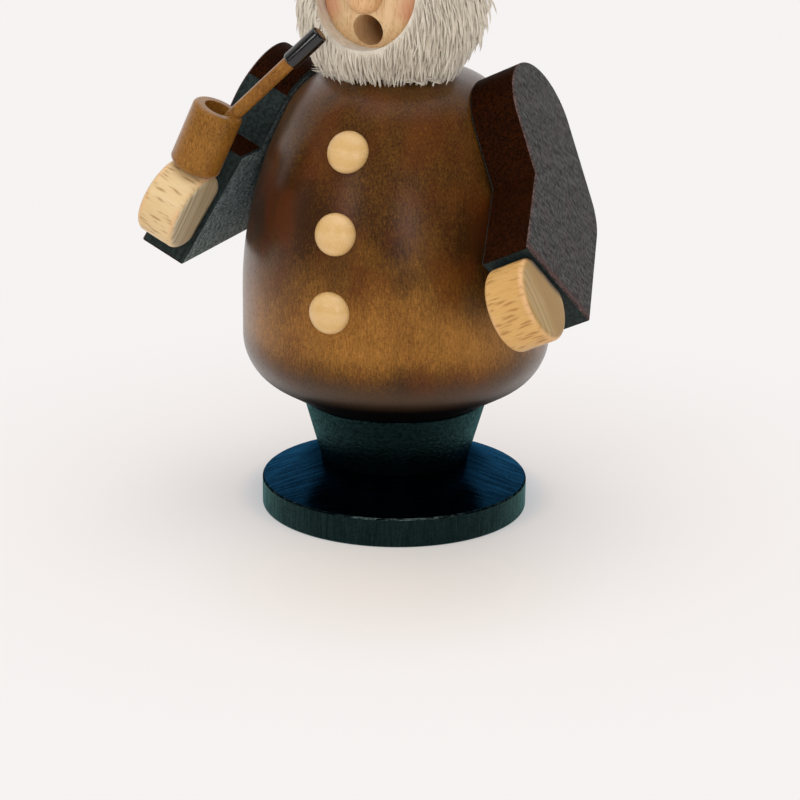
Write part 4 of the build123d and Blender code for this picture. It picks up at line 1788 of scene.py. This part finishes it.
@dataclass
class Hat:
    """Brim, crown and band."""

    lathe: Lathe
    brim_edge: float = 1.6
    crown_edge: float = 4.0
    crown_edge_steps: int = 12
    crown_top_radius: float = 16.6
    band_height: float = 7.0

    def build(self) -> None:
        """Make and dress every piece of the hat."""
        self._brim()
        self._crown()
        show_copy("hat_ribbon", "hat_band", Body.TORSO, BROWN_BAND)
        dress("hat_dowel", DOWEL_WOOD)

    def _brim(self) -> None:
        """Turn the brim with its rounded edge."""
        low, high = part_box("hat_brim")
        radius = high.x / MM - self.brim_edge
        outline = [(0.0, low.z / MM)]
        outline += arc((radius, low.z / MM + self.brim_edge), self.brim_edge, -90, 0)
        outline += arc((radius, high.z / MM - self.brim_edge), self.brim_edge, 0, 90)
        outline += [(0.0, high.z / MM)]
        show("brim_turning", self.lathe.turn(outline, BLACK_HAT), Body.TORSO, ["hat_brim"], BLACK_HAT)

    def _crown(self) -> None:
        """Turn the crown, drawn in above the band, with a rounded top edge."""
        low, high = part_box("hat_crown")
        radius = high.x / MM
        bottom = low.z / MM
        top = high.z / MM
        lean = math.degrees(math.atan2(radius - self.crown_top_radius, top - bottom - self.band_height))
        inset = self.crown_edge * math.tan(math.radians(90 - lean) / 2)
        centre = (self.crown_top_radius - inset, top - self.crown_edge)
        outline = [(0.0, bottom), (radius, bottom), (radius, bottom + self.band_height)]
        outline += arc(centre, self.crown_edge, lean, 90, self.crown_edge_steps)
        outline += [(0.0, top)]
        show("crown_turning", self.lathe.turn(outline, BLACK_HAT), Body.TORSO, ["hat_crown"], BLACK_HAT)


@dataclass
class Pipe:
    """Tobacco pipe that stands in the right hand."""

    turnings: tuple[tuple[str, Finish], ...] = (
        ("bowl", BROWN_PIPE),
        ("stem", BROWN_PIPE),
        ("mouthpiece", BLACK_TIP),
    )

    def build(self) -> None:
        """Make and dress bowl, stem and mouthpiece."""
        for part, finish in self.turnings:
            show_copy(f"{part}_turning", f"pipe_{part}", Body.PIPE, finish)


def direction(azimuth: float, elevation: float) -> Vector:
    """Give a direction away from the figure.

    Args:
        azimuth: Degrees round from the figure's front, towards +X.
        elevation: Degrees above level.

    Returns:
        A unit vector.
    """
    turn = math.radians(azimuth)
    rise = math.radians(elevation)
    return Vector((math.sin(turn) * math.cos(rise), -math.cos(turn) * math.cos(rise), math.sin(rise)))


@dataclass(frozen=True)
class Lamp:
    """A square soft lamp that looks at the figure, placed in degrees from its front towards +X."""

    name: str
    azimuth: float
    elevation: float
    side: float
    watts: float
    distance: float = 1100.0
    aim_height: float = 60.0

    def hang(self) -> None:
        """Put the lamp in the scene."""
        data = bpy.data.lights.new(self.name, "AREA")
        data.size = self.side * MM
        data.energy = self.watts
        lamp = put(self.name, data)
        way = direction(self.azimuth, self.elevation)
        lamp.location = Vector((0, 0, self.aim_height * MM)) + self.distance * MM * way
        lamp.rotation_euler = (-way).to_track_quat("-Z", "Y").to_euler()


LAMPS = (
    Lamp("overhead", azimuth=23.0, elevation=84.0, side=1100.0, watts=5.6),
    Lamp("beside_camera", azimuth=31.0, elevation=16.0, side=260.0, watts=1.7),
    Lamp("left_of_camera", azimuth=-17.0, elevation=19.5, side=260.0, watts=1.2),
)


@dataclass
class Studio:
    """Floor, lamps, surroundings and camera."""

    distance: float = 600.0
    target_height: float = 28.885
    azimuth: float = 23.0
    elevation: float = 17.61
    roll: float = 0.725
    focal_pixels: float = 2213.4
    aside_pixels: float = 4.74
    image_pixels: int = 800
    sensor: float = 36.0
    clip_start: float = 10.0
    floor_radius: float = 1600.0
    floor_sides: int = 96
    surroundings: float = 0.62
    room: float = 0.04
    room_edge: Span = (-0.2, 0.45)

    def build(self) -> None:
        """Set up everything around the figure."""
        self._floor()
        for lamp in LAMPS:
            lamp.hang()
        self._world()
        self._camera()
        bpy.context.scene.view_settings.view_transform = "Standard"

    def _floor(self) -> None:
        """Lay the floor, a wide disc of paper."""
        mesh = bpy.data.meshes.new("paper_floor")
        work = bmesh.new()
        radius = self.floor_radius * MM
        bmesh.ops.create_circle(work, cap_ends=True, segments=self.floor_sides, radius=radius)
        work.to_mesh(mesh)
        work.free()
        mesh.materials.append(PAPER.material())
        put("paper_floor", mesh)

    def _world(self) -> None:
        """Surround the scene with even light, white where it is seen, with a dim room in front."""
        world = bpy.data.worlds.new("studio")
        world.use_nodes = True
        bpy.context.scene.world = world
        net = NodeNet(world.node_tree)
        path = net.node("ShaderNodeLightPath", {}, {}, "Is Camera Ray")
        seen = (path + path.also("Is Transmission Ray")).clamped()
        way = net.node("ShaderNodeTexCoord", {}, {}, "Generated")
        ahead = net.vector("DOT_PRODUCT", way, tuple(direction(self.azimuth, 0.0)), output=1)
        mirrored = 1 - (1 - self.room) * ahead.ramp(*self.room_edge)
        strength = self.surroundings + (1 - self.surroundings) * seen
        strength = strength + path.also("Is Glossy Ray") * (mirrored - self.surroundings)
        sky = net.node("ShaderNodeBackground", {}, {"Color": linear(PAPER.far), "Strength": strength})
        net.node("ShaderNodeOutputWorld", {}, {"Surface": sky})

    def _camera(self) -> None:
        """Stand the camera at the photograph's angle, distance and framing."""
        turn = math.radians(self.azimuth)
        roll = math.radians(self.roll)
        back = direction(self.azimuth, self.elevation)
        right = Vector((math.cos(turn), math.sin(turn), 0))
        up = back.cross(right)
        rolled_right = math.cos(roll) * right + math.sin(roll) * up
        rolled_up = math.cos(roll) * up - math.sin(roll) * right
        data = bpy.data.cameras.new("camera")
        data.sensor_width = self.sensor
        data.lens = self.focal_pixels / self.image_pixels * self.sensor
        data.shift_x = self.aside_pixels / self.image_pixels
        data.clip_start = self.clip_start * MM
        place = Matrix((rolled_right, rolled_up, back)).transposed().to_4x4()
        place.translation = Vector((0, 0, self.target_height * MM)) + back * self.distance * MM
        camera = put("camera", data)
        camera.matrix_world = place
        bpy.context.scene.camera = camera


def main() -> None:
    """Build the sub-assemblies in order, then the studio around them."""
    logging.basicConfig(level=logging.INFO, format="%(name)s: %(message)s")
    lathe = Lathe()
    Base(lathe).build()
    Torso(lathe).build()
    LEFT_ARM.build()
    RIGHT_ARM.build()
    Head().build()
    Hat(lathe).build()
    Pipe().build()
    Studio().build()


if __name__ == "__main__":
    main()
